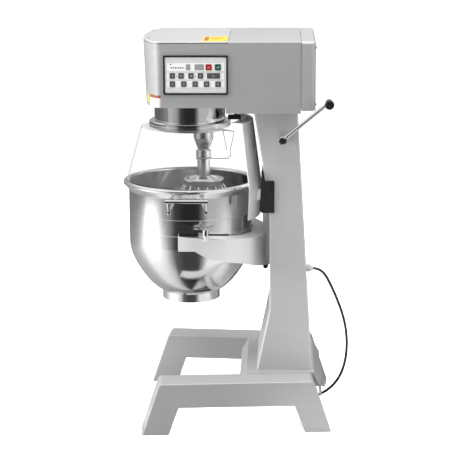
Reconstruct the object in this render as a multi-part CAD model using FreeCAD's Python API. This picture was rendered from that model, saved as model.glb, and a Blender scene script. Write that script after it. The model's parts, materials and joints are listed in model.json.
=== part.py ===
import FreeCAD, Part
import math
import os

# Floor-standing planetary mixer of the 30 litre class. Millimetres.
# +X runs from the bowl to the column, -Y is the side with the keypad, +Z is up.
# The origin is on the floor, under the middle of the whole outline. The pieces are
# drawn with the middle of the base at zero and moved along X as they are written.

Vec = FreeCAD.Vector
UP = Vec(0, 0, 1)
ACROSS = Vec(0, 1, 0)
ALONG = Vec(1, 0, 0)

# ---- driving dimensions -------------------------------------------------
# from the middle of the base to the middle of the whole outline
outline_shift = 30.65

# base
base_top = 155.0
base_underside = 82.0
beam_length = 554.5
beam_width = 91.0
beam_centre_y = 239.5
beam_splay = math.degrees(0.08)
leg_foot_width = 77.5
leg_lean = 52.0
leg_inner_lean = 29.0
beam_wall = 6.0
cross_front_x = 30.0
cross_rear_x = 230.0
cross_bevel_x = 22.0
cross_bevel_z = 37.0

# column
column_half_width = 150.0
column_wall = 3.0
column_top = 930.0
column_front_x = 97.0
column_front_foot_x = 59.5
column_front_top_x = 50.0
column_foot_bend_z = 336.0
column_top_bend_z = 650.0
column_rear_foot_x = 224.0
column_rear_top_x = 178.0

# head
head_half_width = 200.0
head_top = 1135.0
head_front_floor = 946.0
head_rear_floor = column_top
head_step_x = -28.0
head_nose_x = -214.0
head_nose_depth_top = 60.0
head_nose_depth_floor = 53.0
head_rear_x = 186.0
head_wall = 3.0
head_floor_thickness = 4.0
cover_edge_x = -21.0
cover_gap = 2.0
cover_rim = 4.0
cap_end_x = 228.0
cap_floor = 938.0
cap_corner = 16.0
cap_gap = 1.0

# bowl and its axis
bowl_x = -141.0
rim_radius = 200.0
rim_top = 707.0
rim_bead = 8.0
wall_radius = 184.0
wall_bottom = 525.0
bowl_wall = 2.0
bowl_floor_z = 366.0
foot_radius = 86.6
foot_bottom = 342.0
foot_wall = 6.0
handle_y = 235.0
handle_z = 681.0
handle_half = 62.0
handle_bar = 6.0
stay_radius = 3.5
lug_x0 = -163.0
lug_x1 = -107.0
lug_thickness = 8.0

# yoke that carries the bowl
yoke_radius = 235.0
yoke_wall = 12.0
yoke_flange_inner = 191.0
yoke_tip_x = -166.0
yoke_top_tip = 578.0
yoke_top_slope = -0.108
yoke_tip_height = 44.0
yoke_flange_depth = 10.0
pad_x0 = 76.0
pad_x1 = 96.4
pad_half = 60.0
pad_bottom = 455.0
pad_top = 640.0
clamp_x = -86.0
clamp_y = 222.0
clamp_pin = 4.0

# bowl lift
lift_travel = 90.0
rod_x = 128.0
rod_y = 60.0
rod_radius = 11.0
rod_bottom = 362.0
rod_top = 708.0
shelf_thickness = 8.0
block_bottom = 484.0
block_top = 596.0
block_rear_x = 150.0
neck_half = 24.0
lift_module = 3.0
crank_teeth = 24
pinion_teeth = 16
crank_x = 134.0
crank_z = 854.0
rack_pitch_x = 115.75
rack_root_x = 112.0
rack_front_x = 102.0
rack_half = 10.0
crank_gear_y0 = -60.0
crank_gear_y1 = -46.0
pinion_y0 = -62.0
pinion_y1 = 13.0
crank_shaft_radius = 10.0
pinion_shaft_radius = 9.0
lever_y = -206.0
lever_radius = 5.8
lever_hub_radius = 9.5
knob_x = 266.0
knob_z = 963.0
knob_radius = 13.6
knob_length = 46.0

# planetary drive
planet_offset = 40.0
drive_module = 2.5
planet_teeth = 16
ring_teeth = 48
ring_bottom = 914.0
ring_outer = 76.0
collar_inner = 92.0
collar_outer = 105.0
collar_spigot = 97.5
collar_bottom = 857.0
guard_ring_top = 884.0
guard_ring_bottom = 866.0
guard_ring_radius = 121.0
carrier_radius = 88.0
carrier_bottom = 868.0
carrier_top = 900.0
main_shaft_radius = 14.0
agitator_shaft_radius = 10.0
gear_module = 2.0
main_teeth = 72
lay_teeth = 18
main_gear_z0 = 1030.0
main_gear_z1 = 1050.0
lay_shaft_radius = 9.0
lower_plate_z = 950.0
upper_plate_z = 1062.0
plate_thickness = 12.0
pulley_z0 = 1086.0
pulley_z1 = 1108.0
belt_width = 16.0
belt_thickness = 4.0
lay_pulley_radius = 58.0
motor_pulley_radius = 24.0
motor_x = 112.0
motor_radius = 66.0
motor_bottom = 968.0
motor_top = 1068.0
motor_shaft_radius = 8.0

# guards
guard_wall = 3.0
guard_top_radius = 147.0
guard_bottom_radius = 190.0
guard_bottom = 710.0
guard_half_angle = 148.0
rear_guard_half_angle = 33.0
rear_guard_sheet = 2.0

# keypad
panel_x0 = -205.0
panel_x1 = -21.0
panel_z0 = 984.5
panel_z1 = 1096.5
bezel_width = 5.0
bezel_depth = 3.0
plate_depth = 2.0
key_depth = 2.2
key_proud = 3.2
key_gap = 0.3
key_size = 15.5
action_key_size = 17.0
wide_key_width = 37.0
first_key_x = -179.0
key_pitch = 32.4
lower_row_z = 1015.0
middle_row_z = 1038.5
upper_row_z = 1063.0

# mains lead
cord_radius = 4.2
gland_z = 430.0
gland_length = 20.0
gland_shank = 8.0
coil_x = 118.0
coil_y = 72.0
coil_middle_radius = 50.0
coil_layers = 2
coil_turns_across = 2
plug_length = 40.0
plug_radius = 15.0

# running fits and mesh
running_gap = 0.05
tooth_backlash = 0.45
pressure_angle = math.radians(20)


# ---- helpers ------------------------------------------------------------
def box(x0, x1, y0, y1, z0, z1):
    return Part.makeBox(x1 - x0, y1 - y0, z1 - z0, Vec(x0, y0, z0))


def rod(start, end, radius):
    line = Vec(*end) - Vec(*start)
    return Part.makeCylinder(radius, line.Length, Vec(*start), line)


def tube(x, y, z0, z1, outer, inner):
    outside = Part.makeCylinder(outer, z1 - z0, Vec(x, y, z0))
    return outside.cut(Part.makeCylinder(inner, z1 - z0, Vec(x, y, z0)))


def polygon_face(points):
    corners = [Vec(*p) for p in points]
    return Part.Face(Part.makePolygon(corners + corners[:1]))


def side_prism(outline, y0, y1):
    """A solid whose XZ outline runs from y0 to y1."""
    face = polygon_face([(x, y0, z) for x, z in outline])
    return face.extrude(Vec(0, y1 - y0, 0))


def flat_prism(outline, z0, z1):
    """A solid whose XY outline runs from z0 to z1."""
    face = polygon_face([(x, y, z0) for x, y in outline])
    return face.extrude(Vec(0, 0, z1 - z0))


def turned(outline, x, y, start=0.0, sweep=360.0):
    """A solid turned about the vertical line at x, y. The outline is (radius, z)."""
    face = polygon_face([(x + r, y, z) for r, z in outline])
    axis_point = Vec(x, y, 0)
    face.rotate(axis_point, UP, start)
    return face.revolve(axis_point, UP, sweep)


def fused(shapes):
    result = shapes[0].multiFuse(shapes[1:])
    return result.removeSplitter()


def mirrored(shape):
    """The same piece on the other side of the machine."""
    return shape.mirror(Vec(0, 0, 0), ACROSS)


def involute(angle):
    return math.tan(angle) - angle


def gear_points(teeth, module, phase, thinning, addendum=1.0, dedendum=1.25):
    """Corners of a spur gear's outline, with one tooth centred on the angle phase."""
    pitch_radius = module * teeth / 2
    base_radius = pitch_radius * math.cos(pressure_angle)
    tip_radius = pitch_radius + addendum * module
    root_radius = pitch_radius - dedendum * module
    half_at_pitch = math.pi / (2 * teeth) - thinning / (2 * pitch_radius)
    flank_start = max(base_radius, root_radius)
    steps = 4
    flank = []
    if root_radius < base_radius:
        half = half_at_pitch + involute(pressure_angle)
        flank.append((root_radius, half))
    for i in range(steps + 1):
        radius = flank_start + (tip_radius - flank_start) * i / steps
        roll = math.acos(min(1.0, base_radius / radius))
        half = half_at_pitch + involute(pressure_angle) - involute(roll)
        flank.append((radius, half))
    points = []
    for k in range(teeth):
        centre = phase + 2 * math.pi * k / teeth
        for radius, half in flank:
            points.append((radius * math.cos(centre - half), radius * math.sin(centre - half)))
        for radius, half in reversed(flank):
            points.append((radius * math.cos(centre + half), radius * math.sin(centre + half)))
    return points


def flat_gear(teeth, module, phase, x, y, z0, z1, thinning=tooth_backlash, **shape):
    points = gear_points(teeth, module, phase, thinning, **shape)
    return flat_prism([(x + px, y + py) for px, py in points], z0, z1)


def upright_gear(teeth, module, phase, x, z, y0, y1):
    points = gear_points(teeth, module, phase, tooth_backlash)
    return side_prism([(x + px, z + pz) for px, pz in points], y0, y1)


# ---- base ---------------------------------------------------------------
def beam_outline(inset):
    """The bridge shape of a side beam, drawn inwards by inset."""
    half = beam_length / 2
    top_half_x = half - leg_lean + leg_lean * inset / base_top - inset
    foot_half_x = half - inset
    return [
        (-foot_half_x, 0),
        (-top_half_x, base_top - inset),
        (top_half_x, base_top - inset),
        (foot_half_x, 0),
    ]


def leg_gap_outline():
    half = beam_length / 2 - leg_foot_width
    top = half - leg_inner_lean * base_underside / base_top * 2
    return [(-half, 0), (-top, base_underside), (top, base_underside), (half, 0)]


def base_beam():
    """One side beam, hollow, open underneath between its legs, with closed feet."""
    half_width = beam_width / 2
    outside = side_prism(beam_outline(0), -half_width, half_width)
    top_edges = [e for e in outside.Edges if e.BoundBox.ZMin > base_top - 1 and e.Length < beam_width + 1]
    outside = outside.makeFillet(14.0, top_edges)
    long_edges = [e for e in outside.Edges if e.BoundBox.ZMin > base_top - 1 and e.Length > beam_width + 1]
    outside = outside.makeFillet(4.0, long_edges)
    outside = outside.cut(side_prism(leg_gap_outline(), -half_width - 1, half_width + 1))
    inner_half = half_width - beam_wall
    hollow = side_prism(beam_outline(beam_wall), -inner_half, inner_half)
    gap_skin = side_prism(
        [(x * (1 + beam_wall / abs(x)), z + (beam_wall if z > 0 else 0)) for x, z in leg_gap_outline()],
        -inner_half,
        inner_half,
    )
    foot_plate = box(-beam_length, beam_length, -half_width, half_width, 0, beam_wall)
    return outside.cut(hollow.cut(gap_skin).cut(foot_plate))


def placed_beam(side):
    """side is -1 for the keypad side and +1 for the far side."""
    beam = base_beam()
    beam.rotate(Vec(0, 0, 0), UP, -side * beam_splay)
    beam.translate(Vec(0, side * beam_centre_y, 0))
    return beam


def base_cross_member():
    """The box between the beams, under the column, with bevelled front and rear edges."""
    low_z = base_top - cross_bevel_z
    outline = [
        (cross_front_x, base_top),
        (cross_front_x - cross_bevel_x, low_z),
        (cross_front_x - cross_bevel_x, base_underside),
        (cross_rear_x + cross_bevel_x, base_underside),
        (cross_rear_x + cross_bevel_x, low_z),
        (cross_rear_x, base_top),
    ]
    inside = [
        (cross_front_x + 2, base_top - beam_wall),
        (cross_front_x - cross_bevel_x + beam_wall, low_z - 2),
        (cross_front_x - cross_bevel_x + beam_wall, base_underside - 1),
        (cross_rear_x + cross_bevel_x - beam_wall, base_underside - 1),
        (cross_rear_x + cross_bevel_x - beam_wall, low_z - 2),
        (cross_rear_x - 2, base_top - beam_wall),
    ]
    member = side_prism(outline, -beam_centre_y, beam_centre_y)
    member = member.cut(side_prism(inside, -beam_centre_y, beam_centre_y))
    reach = beam_length
    for side in (-1, 1):
        room = box(-reach, reach, -beam_width / 2, beam_width, -1, base_top + 1)
        if side < 0:
            room = mirrored(room)
        room.rotate(Vec(0, 0, 0), UP, -side * beam_splay)
        room.translate(Vec(0, side * beam_centre_y, 0))
        member = member.cut(room)
    return member


# ---- column -------------------------------------------------------------
def column_outline(inset):
    return [
        (column_front_foot_x + inset, base_top),
        (column_front_x + inset, column_foot_bend_z),
        (column_front_x + inset, column_top_bend_z),
        (column_front_top_x + inset, column_top),
        (column_rear_top_x - inset, column_top),
        (column_rear_foot_x - inset, base_top),
    ]


def lift_pinion_place():
    """The pinion's centre: one pitch radius behind the rack, in mesh with the crank gear."""
    x = rack_pitch_x + lift_module * pinion_teeth / 2
    centres = lift_module * (pinion_teeth + crank_teeth) / 2
    z = crank_z - math.sqrt(centres ** 2 - (crank_x - x) ** 2)
    return x, z


def column_body():
    half = column_half_width
    shell = side_prism(column_outline(0), -half, half)
    upright = [e for e in shell.Edges if e.BoundBox.YLength < 1 and e.BoundBox.ZLength > 50]
    shell = shell.makeFillet(5.0, upright)
    inner = half - column_wall
    shell = shell.cut(side_prism(column_outline(column_wall), -inner, inner))
    slot_low = block_bottom - lift_travel - 5
    slot_high = block_top + 5
    slot_half = neck_half + 2
    slot_rear = column_front_x + 2 * column_wall
    shell = shell.cut(box(column_front_x - 5, slot_rear, -slot_half, slot_half, slot_low, slot_high))
    pieces = [shell]
    for z in (rod_bottom, rod_top - shelf_thickness):
        shelf = box(column_front_x + column_wall, block_rear_x, -inner, inner, z, z + shelf_thickness)
        for y in (-rod_y, rod_y):
            shelf = shelf.cut(rod((rod_x, y, z - 1), (rod_x, y, z + shelf_thickness + 1), rod_radius))
        room_half = rack_half + 3
        room_top = z + shelf_thickness + 1
        rack_room = box(column_front_x, rack_pitch_x + 8, -room_half, room_half, z - 1, room_top)
        pieces.append(shelf.cut(rack_room))
    pinion_x, pinion_z = lift_pinion_place()
    for side in (-1, 1):
        pieces.append(rod((crank_x, side * (inner - 10), crank_z), (crank_x, side * (half + 5), crank_z), 15))
        pieces.append(rod((pinion_x, side * (inner - 12), pinion_z), (pinion_x, side * inner, pinion_z), 14))
    body = fused(pieces)
    crank_bore = crank_shaft_radius + running_gap
    pinion_bore = pinion_shaft_radius + running_gap
    crank_hole = rod((crank_x, -half - 10, crank_z), (crank_x, half + 10, crank_z), crank_bore)
    pinion_hole = rod((pinion_x, -inner, pinion_z), (pinion_x, inner, pinion_z), pinion_bore)
    rear_x = column_rear_x_at(gland_z)
    lead_hole = rod((rear_x - 9, 0, gland_z), (rear_x + 9, 0, gland_z), gland_shank + 0.2)
    return body.cut(crank_hole).cut(pinion_hole).cut(lead_hole)


def guide_rods():
    rods = [rod((rod_x, y, rod_bottom), (rod_x, y, rod_top), rod_radius) for y in (-rod_y, rod_y)]
    return Part.makeCompound(rods)


# ---- head ---------------------------------------------------------------
def head_wire(z, nose_depth, inset, end_x):
    """The head's plan outline at height z: straight sides and an elliptical nose."""
    half = head_half_width - inset
    depth = nose_depth - inset
    centre = Vec(head_nose_x, 0, z)
    left = Vec(head_nose_x, half, z)
    right = Vec(head_nose_x, -half, z)
    nose = Part.Ellipse(left, Vec(head_nose_x - depth, 0, z), centre)
    arc = Part.Arc(nose, 0, math.pi)
    far_corner = Vec(end_x, half, z)
    near_corner = Vec(end_x, -half, z)
    edges = [
        Part.LineSegment(far_corner, left).toShape(),
        arc.toShape(),
        Part.LineSegment(right, near_corner).toShape(),
        Part.LineSegment(near_corner, far_corner).toShape(),
    ]
    return Part.Wire(edges)


def nose_depth_at(z):
    share = (z - head_front_floor) / (head_top - head_front_floor)
    return head_nose_depth_floor + (head_nose_depth_top - head_nose_depth_floor) * share


def head_block(z0, z1, inset, end_x):
    low = head_wire(z0, nose_depth_at(z0), inset, end_x)
    high = head_wire(z1, nose_depth_at(z1), inset, end_x)
    return Part.makeLoft([low, high], True, True)


def head_housing():
    shell = head_block(head_front_floor, head_top, 0, head_rear_x)
    half = head_half_width
    shell = fused([shell, box(head_step_x, head_rear_x, -half, half, head_rear_floor, head_front_floor)])
    long_top = [
        e for e in shell.Edges
        if e.BoundBox.ZMin > head_top - 1 and e.BoundBox.XLength > 100 and e.BoundBox.YLength < 1
    ]
    shell = shell.makeFillet(3.0, long_top)
    inner_floor = head_front_floor + head_floor_thickness
    inner_rear = head_rear_x - head_wall
    inner_half = head_half_width - head_wall
    hollow = head_block(inner_floor, head_top - head_wall, head_wall, inner_rear)
    rear_hollow = box(
        head_step_x + head_wall, inner_rear, -inner_half, inner_half,
        head_rear_floor + head_wall, head_top - head_wall,
    )
    shell = shell.cut(hollow).cut(rear_hollow)
    rim_top_z = head_top - cover_rim - cover_gap
    front_room = box(-400, cover_edge_x, -300, 300, rim_top_z, head_top + 1)
    drive_hole = rod((bowl_x, 0, head_front_floor - 1), (bowl_x, 0, inner_floor + 1), ring_outer - 12)
    column_x0 = column_front_top_x + column_wall + 3
    column_x1 = column_rear_top_x - column_wall - 3
    column_hole = box(column_x0, column_x1, -120, 120, head_rear_floor - 1, head_rear_floor + head_wall + 1)
    return shell.cut(front_room).cut(drive_hole).cut(column_hole)


def head_front_cover():
    bottom = head_top - cover_rim
    lid = head_block(bottom, head_top, 0, cover_edge_x - 1)
    upper = [e for e in lid.Edges if e.BoundBox.ZMin > head_top - 0.5]
    top_edges = [e for e in upper if e.BoundBox.XMin < cover_edge_x - 10]
    lid = lid.makeFillet(2.5, top_edges)
    lip_outer = head_block(bottom - 14, bottom, head_wall + 1, cover_edge_x - 6)
    lip_inner = head_block(bottom - 15, bottom, head_wall + 3, cover_edge_x - 8)
    return fused([lid, lip_outer.cut(lip_inner)])


def head_rear_cap():
    start = head_rear_x + cap_gap
    half = head_half_width
    outside = box(start, cap_end_x, -half, half, cap_floor, head_top)
    corners = [e for e in outside.Edges if e.BoundBox.ZLength > 50 and e.BoundBox.XMin > start + 1]
    outside = outside.makeFillet(cap_corner, corners)
    rim = [e for e in outside.Edges if e.BoundBox.ZMin > head_top - 1 and e.BoundBox.XMax > start + 1]
    outside = outside.makeFillet(8.0, rim)
    inside = box(
        start - 1, cap_end_x - head_wall, -half + head_wall, half - head_wall,
        cap_floor + head_wall, head_top - head_wall,
    )
    inner_corners = [e for e in inside.Edges if e.BoundBox.ZLength > 50 and e.BoundBox.XMin > start + 1]
    return outside.cut(inside.makeFillet(cap_corner - head_wall, inner_corners))


# ---- keypad -------------------------------------------------------------
def small_key_places():
    """Name, x and z of the dark square keys."""
    places = []
    names = ("light", "slow", "medium", "fast", "reset")
    for i, name in enumerate(names):
        places.append((name, first_key_x + key_pitch * i, lower_row_z))
    pair_step = 25.0
    second_pair_x = first_key_x + 53.0
    places.append(("speed_down", first_key_x, middle_row_z))
    places.append(("speed_up", first_key_x + pair_step, middle_row_z))
    places.append(("time_down", second_pair_x, middle_row_z))
    places.append(("time_up", second_pair_x + pair_step + 2, middle_row_z))
    return places


def key_table():
    """Node name, centre x, centre z and width of every key."""
    keys = [("key_" + name, x, z, key_size) for name, x, z in small_key_places()]
    keys.append(("key_mode", -62.0, middle_row_z, wide_key_width))
    keys.append(("key_stop", -75.5, upper_row_z, action_key_size))
    keys.append(("key_start", -49.5, upper_row_z, action_key_size))
    return keys


def key_height(width):
    return action_key_size if width == action_key_size else key_size


def rounded_slab(x, z, width, height, y0, y1, corner):
    slab = box(x - width / 2, x + width / 2, y0, y1, z - height / 2, z + height / 2)
    corners = [e for e in slab.Edges if e.BoundBox.YLength > (y1 - y0) * 0.9]
    return slab.makeFillet(corner, corners)


def keypad_key(x, z, width):
    front = -head_half_width - key_proud
    return rounded_slab(x, z, width, key_height(width), front, front + key_depth, 1.6)


def display_places():
    """Centre x, centre z, width and height of the two readouts."""
    return [(-133.8, upper_row_z, 13.0, 17.0), (-102.2, upper_row_z, 27.0, 17.0)]


def lamp_places():
    """The row of step lamps, and the single power lamp above it."""
    row_start = -182.5
    row_step = 6.7
    places = [(row_start + row_step * i, upper_row_z - 1.5) for i in range(6)]
    places.append((row_start - 1.5, upper_row_z + 8.5))
    return places


def lamp(x, z, radius, front, back):
    return rod((x, front, z), (x, back, z), radius)


def control_bezel():
    width = panel_x1 - panel_x0
    height = panel_z1 - panel_z0
    x = (panel_x0 + panel_x1) / 2
    z = (panel_z0 + panel_z1) / 2
    front = -head_half_width - bezel_depth
    frame = rounded_slab(x, z, width, height, front, -head_half_width, 4.0)
    opening = rounded_slab(
        x, z, width - 2 * bezel_width, height - 2 * bezel_width, front - 1, -head_half_width + 1, 2.0
    )
    return frame.cut(opening)


def control_plate():
    width = panel_x1 - panel_x0 - 2 * bezel_width - 0.4
    height = panel_z1 - panel_z0 - 2 * bezel_width - 0.4
    x = (panel_x0 + panel_x1) / 2
    z = (panel_z0 + panel_z1) / 2
    front = -head_half_width - plate_depth
    back = 1 - head_half_width
    plate = rounded_slab(x, z, width, height, front, -head_half_width, 2.0)
    for _, key_x, key_z, key_width in key_table():
        hole_width = key_width + 2 * key_gap
        hole_height = key_height(key_width) + 2 * key_gap
        plate = plate.cut(rounded_slab(key_x, key_z, hole_width, hole_height, front - 1, back, 1.9))
    for win_x, win_z, win_width, win_height in display_places():
        plate = plate.cut(rounded_slab(win_x, win_z, win_width, win_height, front - 1, back, 0.8))
    for lamp_x, lamp_z in lamp_places():
        plate = plate.cut(lamp(lamp_x, lamp_z, 2.0, front - 1, back))
    return plate


def display_windows():
    front = -head_half_width - plate_depth - 0.1
    gap = 0.1
    windows = []
    for x, z, width, height in display_places():
        windows.append(rounded_slab(x, z, width - gap, height - gap, front, -head_half_width, 0.8))
    return Part.makeCompound(windows)


def indicator_lamps():
    front = -head_half_width - plate_depth - 0.4
    lamps = [lamp(x, z, 1.95, front, -head_half_width) for x, z in lamp_places()]
    return Part.makeCompound(lamps)


# ---- planetary drive ----------------------------------------------------
def planet_x():
    return bowl_x + planet_offset


def neck_collar():
    outline = [
        (collar_inner, collar_bottom),
        (collar_spigot + 3, collar_bottom),
        (collar_spigot + 3, guard_ring_bottom - 3.5),
        (collar_spigot, guard_ring_bottom - 3.5),
        (collar_spigot, guard_ring_top + 1),
        (collar_outer, guard_ring_top + 1),
        (collar_outer, head_front_floor),
        (collar_inner, head_front_floor),
    ]
    return turned(outline, bowl_x, 0)


def ring_gear():
    blank = rod((bowl_x, 0, ring_bottom), (bowl_x, 0, head_front_floor), ring_outer)
    teeth = flat_gear(
        ring_teeth, drive_module, 0, bowl_x, 0, ring_bottom - 1, head_front_floor + 1,
        thinning=0.0, addendum=1.35, dedendum=0.5,
    )
    return blank.cut(teeth)


def planet_carrier():
    """The drum with its drive shaft in one forging, bored for the agitator shaft."""
    drum = rod((bowl_x, 0, carrier_bottom), (bowl_x, 0, carrier_top), carrier_radius)
    hub = rod((bowl_x, 0, carrier_top), (bowl_x, 0, carrier_top + 8), main_shaft_radius + 2.4)
    shaft = rod((bowl_x, 0, carrier_top), (bowl_x, 0, upper_plate_z + plate_thickness + 3), main_shaft_radius)
    body = fused([drum, hub, shaft])
    bore = agitator_shaft_radius + running_gap
    return body.cut(rod((planet_x(), 0, carrier_bottom - 1), (planet_x(), 0, carrier_top + 1), bore))


def main_gear():
    gear = flat_gear(main_teeth, gear_module, 0, bowl_x, 0, main_gear_z0, main_gear_z1)
    gear = gear.cut(rod((bowl_x, 0, main_gear_z0 - 1), (bowl_x, 0, main_gear_z1 + 1), main_shaft_radius))
    web_radius = 47.0
    for k in range(6):
        angle = math.pi * k / 3
        x = bowl_x + web_radius * math.cos(angle)
        y = web_radius * math.sin(angle)
        gear = gear.cut(rod((x, y, main_gear_z0 - 1), (x, y, main_gear_z1 + 1), 14))
    return gear


def agitator_shaft():
    """The planet pinion, the shaft through the carrier and the socket boss in one piece."""
    x = planet_x()
    top = ring_bottom + 24
    pinion = flat_gear(planet_teeth, drive_module, 0, x, 0, ring_bottom, top)
    stem = rod((x, 0, carrier_bottom - 4), (x, 0, ring_bottom + 1), agitator_shaft_radius)
    boss = turned(
        [(0, 770), (14.5, 770), (14.5, 792), (18, 797), (26, 818), (29.5, 828), (29.5, 858),
         (27.5, carrier_bottom - 1),
         (0, carrier_bottom - 1)],
        x, 0,
    )
    pin = rod((x, -31, 778), (x, 31, 778), 4.0)
    return fused([pinion, stem, boss, pin])


def lay_shaft_x():
    return bowl_x + gear_module * (main_teeth + lay_teeth) / 2


def meshing_phase(own_teeth, towards, other_phase, other_teeth, other_towards):
    """The phase that puts a gap where the other gear has a tooth, on the line of centres."""
    other_pitch = 2 * math.pi / other_teeth
    own_pitch = 2 * math.pi / own_teeth
    other_share = (other_phase - other_towards) / other_pitch
    return towards + own_pitch * (0.5 - other_share)


def lay_shaft():
    x = lay_shaft_x()
    stem = rod((x, 0, lower_plate_z + 2), (x, 0, pulley_z1 + 3), lay_shaft_radius)
    phase = meshing_phase(lay_teeth, math.pi, 0, main_teeth, 0)
    pinion = flat_gear(lay_teeth, gear_module, phase, x, 0, main_gear_z0 - 2, main_gear_z1 + 2)
    return fused([stem, pinion])


def grooved_pulley(x, radius, bore):
    """A pulley with two side flanges that keep the belt in place."""
    flange = (pulley_z1 - pulley_z0 - belt_width) / 2 - 0.5
    rim = radius + belt_thickness
    outline = [
        (bore, pulley_z0), (rim, pulley_z0), (rim, pulley_z0 + flange), (radius, pulley_z0 + flange),
        (radius, pulley_z1 - flange), (rim, pulley_z1 - flange), (rim, pulley_z1), (bore, pulley_z1),
    ]
    return turned(outline, x, 0)


def lay_shaft_pulley():
    return grooved_pulley(lay_shaft_x(), lay_pulley_radius, lay_shaft_radius)


def motor_pulley():
    """The motor's shaft with its pulley."""
    pulley = grooved_pulley(motor_x, motor_pulley_radius, motor_shaft_radius - 1)
    shaft = rod((motor_x, 0, motor_bottom + 12), (motor_x, 0, pulley_z1 + 3), motor_shaft_radius)
    return fused([pulley, shaft])


def belt_loop_face(offset, z):
    """The outline of an open belt round both pulleys, offset outwards from their grooves."""
    small = motor_pulley_radius + offset
    large = lay_pulley_radius + offset
    distance = motor_x - lay_shaft_x()
    tilt = math.acos((large - small) / distance)
    big_top = Vec(lay_shaft_x() + large * math.cos(tilt), large * math.sin(tilt), z)
    big_low = Vec(big_top.x, -big_top.y, z)
    small_top = Vec(motor_x + small * math.cos(tilt), small * math.sin(tilt), z)
    small_low = Vec(small_top.x, -small_top.y, z)
    edges = [
        Part.LineSegment(big_top, small_top).toShape(),
        Part.Arc(small_top, Vec(motor_x + small, 0, z), small_low).toShape(),
        Part.LineSegment(small_low, big_low).toShape(),
        Part.Arc(big_low, Vec(lay_shaft_x() - large, 0, z), big_top).toShape(),
    ]
    return Part.Face(Part.Wire(edges))


def drive_belt():
    z = (pulley_z0 + pulley_z1 - belt_width) / 2
    clearance = 0.3
    outside = belt_loop_face(clearance + belt_thickness - 1, z).extrude(Vec(0, 0, belt_width))
    inside = belt_loop_face(clearance, z).extrude(Vec(0, 0, belt_width))
    return outside.cut(inside)


def motor_body():
    """A finned motor standing in the rear of the head, bored for its rotor shaft."""
    can = rod((motor_x, 0, motor_bottom), (motor_x, 0, motor_top - 10), motor_radius - 5)
    end_bell = rod((motor_x, 0, motor_top - 10), (motor_x, 0, motor_top), motor_radius - 14)
    pieces = [can, end_bell]
    fins = 24
    for k in range(fins):
        fin = box(motor_radius - 8, motor_radius, -1.5, 1.5, motor_bottom + 12, motor_top - 18)
        fin.rotate(Vec(0, 0, 0), UP, 360.0 * k / fins)
        fin.translate(Vec(motor_x, 0, 0))
        pieces.append(fin)
    feet_z = head_rear_floor + head_wall
    for side in (-1, 1):
        pieces.append(box(motor_x - 50, motor_x + 50, side * 134 - 8, side * 134 + 8, feet_z, motor_bottom))
    pieces.append(box(motor_x - 50, motor_x + 50, -142, 142, motor_bottom, motor_bottom + 8))
    body = fused(pieces)
    bore = motor_shaft_radius + running_gap
    return body.cut(rod((motor_x, 0, motor_bottom + 9), (motor_x, 0, motor_top + 1), bore))


def bearing_places():
    """Shaft x, shaft radius and the height of each bearing's lower face."""
    return [
        (bowl_x, main_shaft_radius, lower_plate_z),
        (bowl_x, main_shaft_radius, upper_plate_z),
        (lay_shaft_x(), lay_shaft_radius, lower_plate_z),
        (lay_shaft_x(), lay_shaft_radius, upper_plate_z),
    ]


bearing_ring = 9.0


def drive_frame():
    """Two bearing plates on four posts, bolted to the head's floor."""
    half = 78.0
    x0 = bowl_x - 88
    x1 = lay_shaft_x() + 30
    pieces = []
    for z in (lower_plate_z, upper_plate_z):
        pieces.append(box(x0, x1, -half, half, z, z + plate_thickness))
    for x in (x0 + 9, x1 - 9):
        for y in (-half + 9, half - 9):
            pieces.append(rod((x, y, lower_plate_z + 2), (x, y, upper_plate_z + 2), 8))
    frame = fused(pieces)
    for x, shaft_radius, z in bearing_places():
        seat = shaft_radius + bearing_ring
        frame = frame.cut(rod((x, 0, z - 1), (x, 0, z + plate_thickness + 1), seat))
    return frame


def shaft_bearings():
    rings = []
    for x, shaft_radius, z in bearing_places():
        bore = shaft_radius + running_gap
        rings.append(tube(x, 0, z, z + plate_thickness, shaft_radius + bearing_ring, bore))
    return Part.makeCompound(rings)


# ---- whisk --------------------------------------------------------------
whisk_disc_z = 690.0
whisk_disc_height = 15.0
whisk_disc_radius = 60.0
whisk_wire_radius = 2.2
whisk_loops = 7


def whisk_head():
    """The whisk's sleeve with its slotted collar, and the disc that holds the wires."""
    top = 791.0
    rim_z = whisk_disc_z + whisk_disc_height
    outline = [
        (14.8, top), (22.5, top), (22.5, 772), (19, 766), (19, rim_z + 8), (26, rim_z + 1),
        (44, rim_z - 4), (50, rim_z - 4), (52, rim_z), (whisk_disc_radius - 1.5, rim_z),
        (whisk_disc_radius, rim_z - 1.5), (whisk_disc_radius, whisk_disc_z), (0, whisk_disc_z),
        (0, 768), (14.8, 768),
    ]
    head = turned(outline, planet_x(), 0)
    slot = rod((planet_x(), -40, 778), (planet_x(), 40, 778), 4.3)
    return head.cut(slot)


def whisk_loop(index):
    """One wire, from the disc down, across under the shaft line, and back up."""
    spread = (index - (whisk_loops - 1) / 2) * (2 * whisk_wire_radius + 0.6)
    lowest = 396.0 + spread
    widest = 116.0 - 1.2 * index
    side = [(53, whisk_disc_z + 3), (82, 650), (widest, 565), (widest - 14, 468), (58, lowest + 16)]
    points = [Vec(-r, 0, z) for r, z in side]
    points.append(Vec(0, 0, lowest))
    points += [Vec(r, 0, z) for r, z in reversed(side)]
    curve = Part.BSplineCurve()
    curve.interpolate(points)
    path = Part.Wire(curve.toShape())
    start = Part.Circle(points[0], curve.tangent(curve.FirstParameter)[0], whisk_wire_radius)
    wire = path.makePipeShell([Part.Wire(start.toShape())], True, False)
    wire.rotate(Vec(0, 0, 0), UP, 180.0 * index / whisk_loops)
    wire.translate(Vec(planet_x(), 0, 0))
    return wire


def whisk_wires():
    return Part.makeCompound([whisk_loop(i) for i in range(whisk_loops)])


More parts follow.
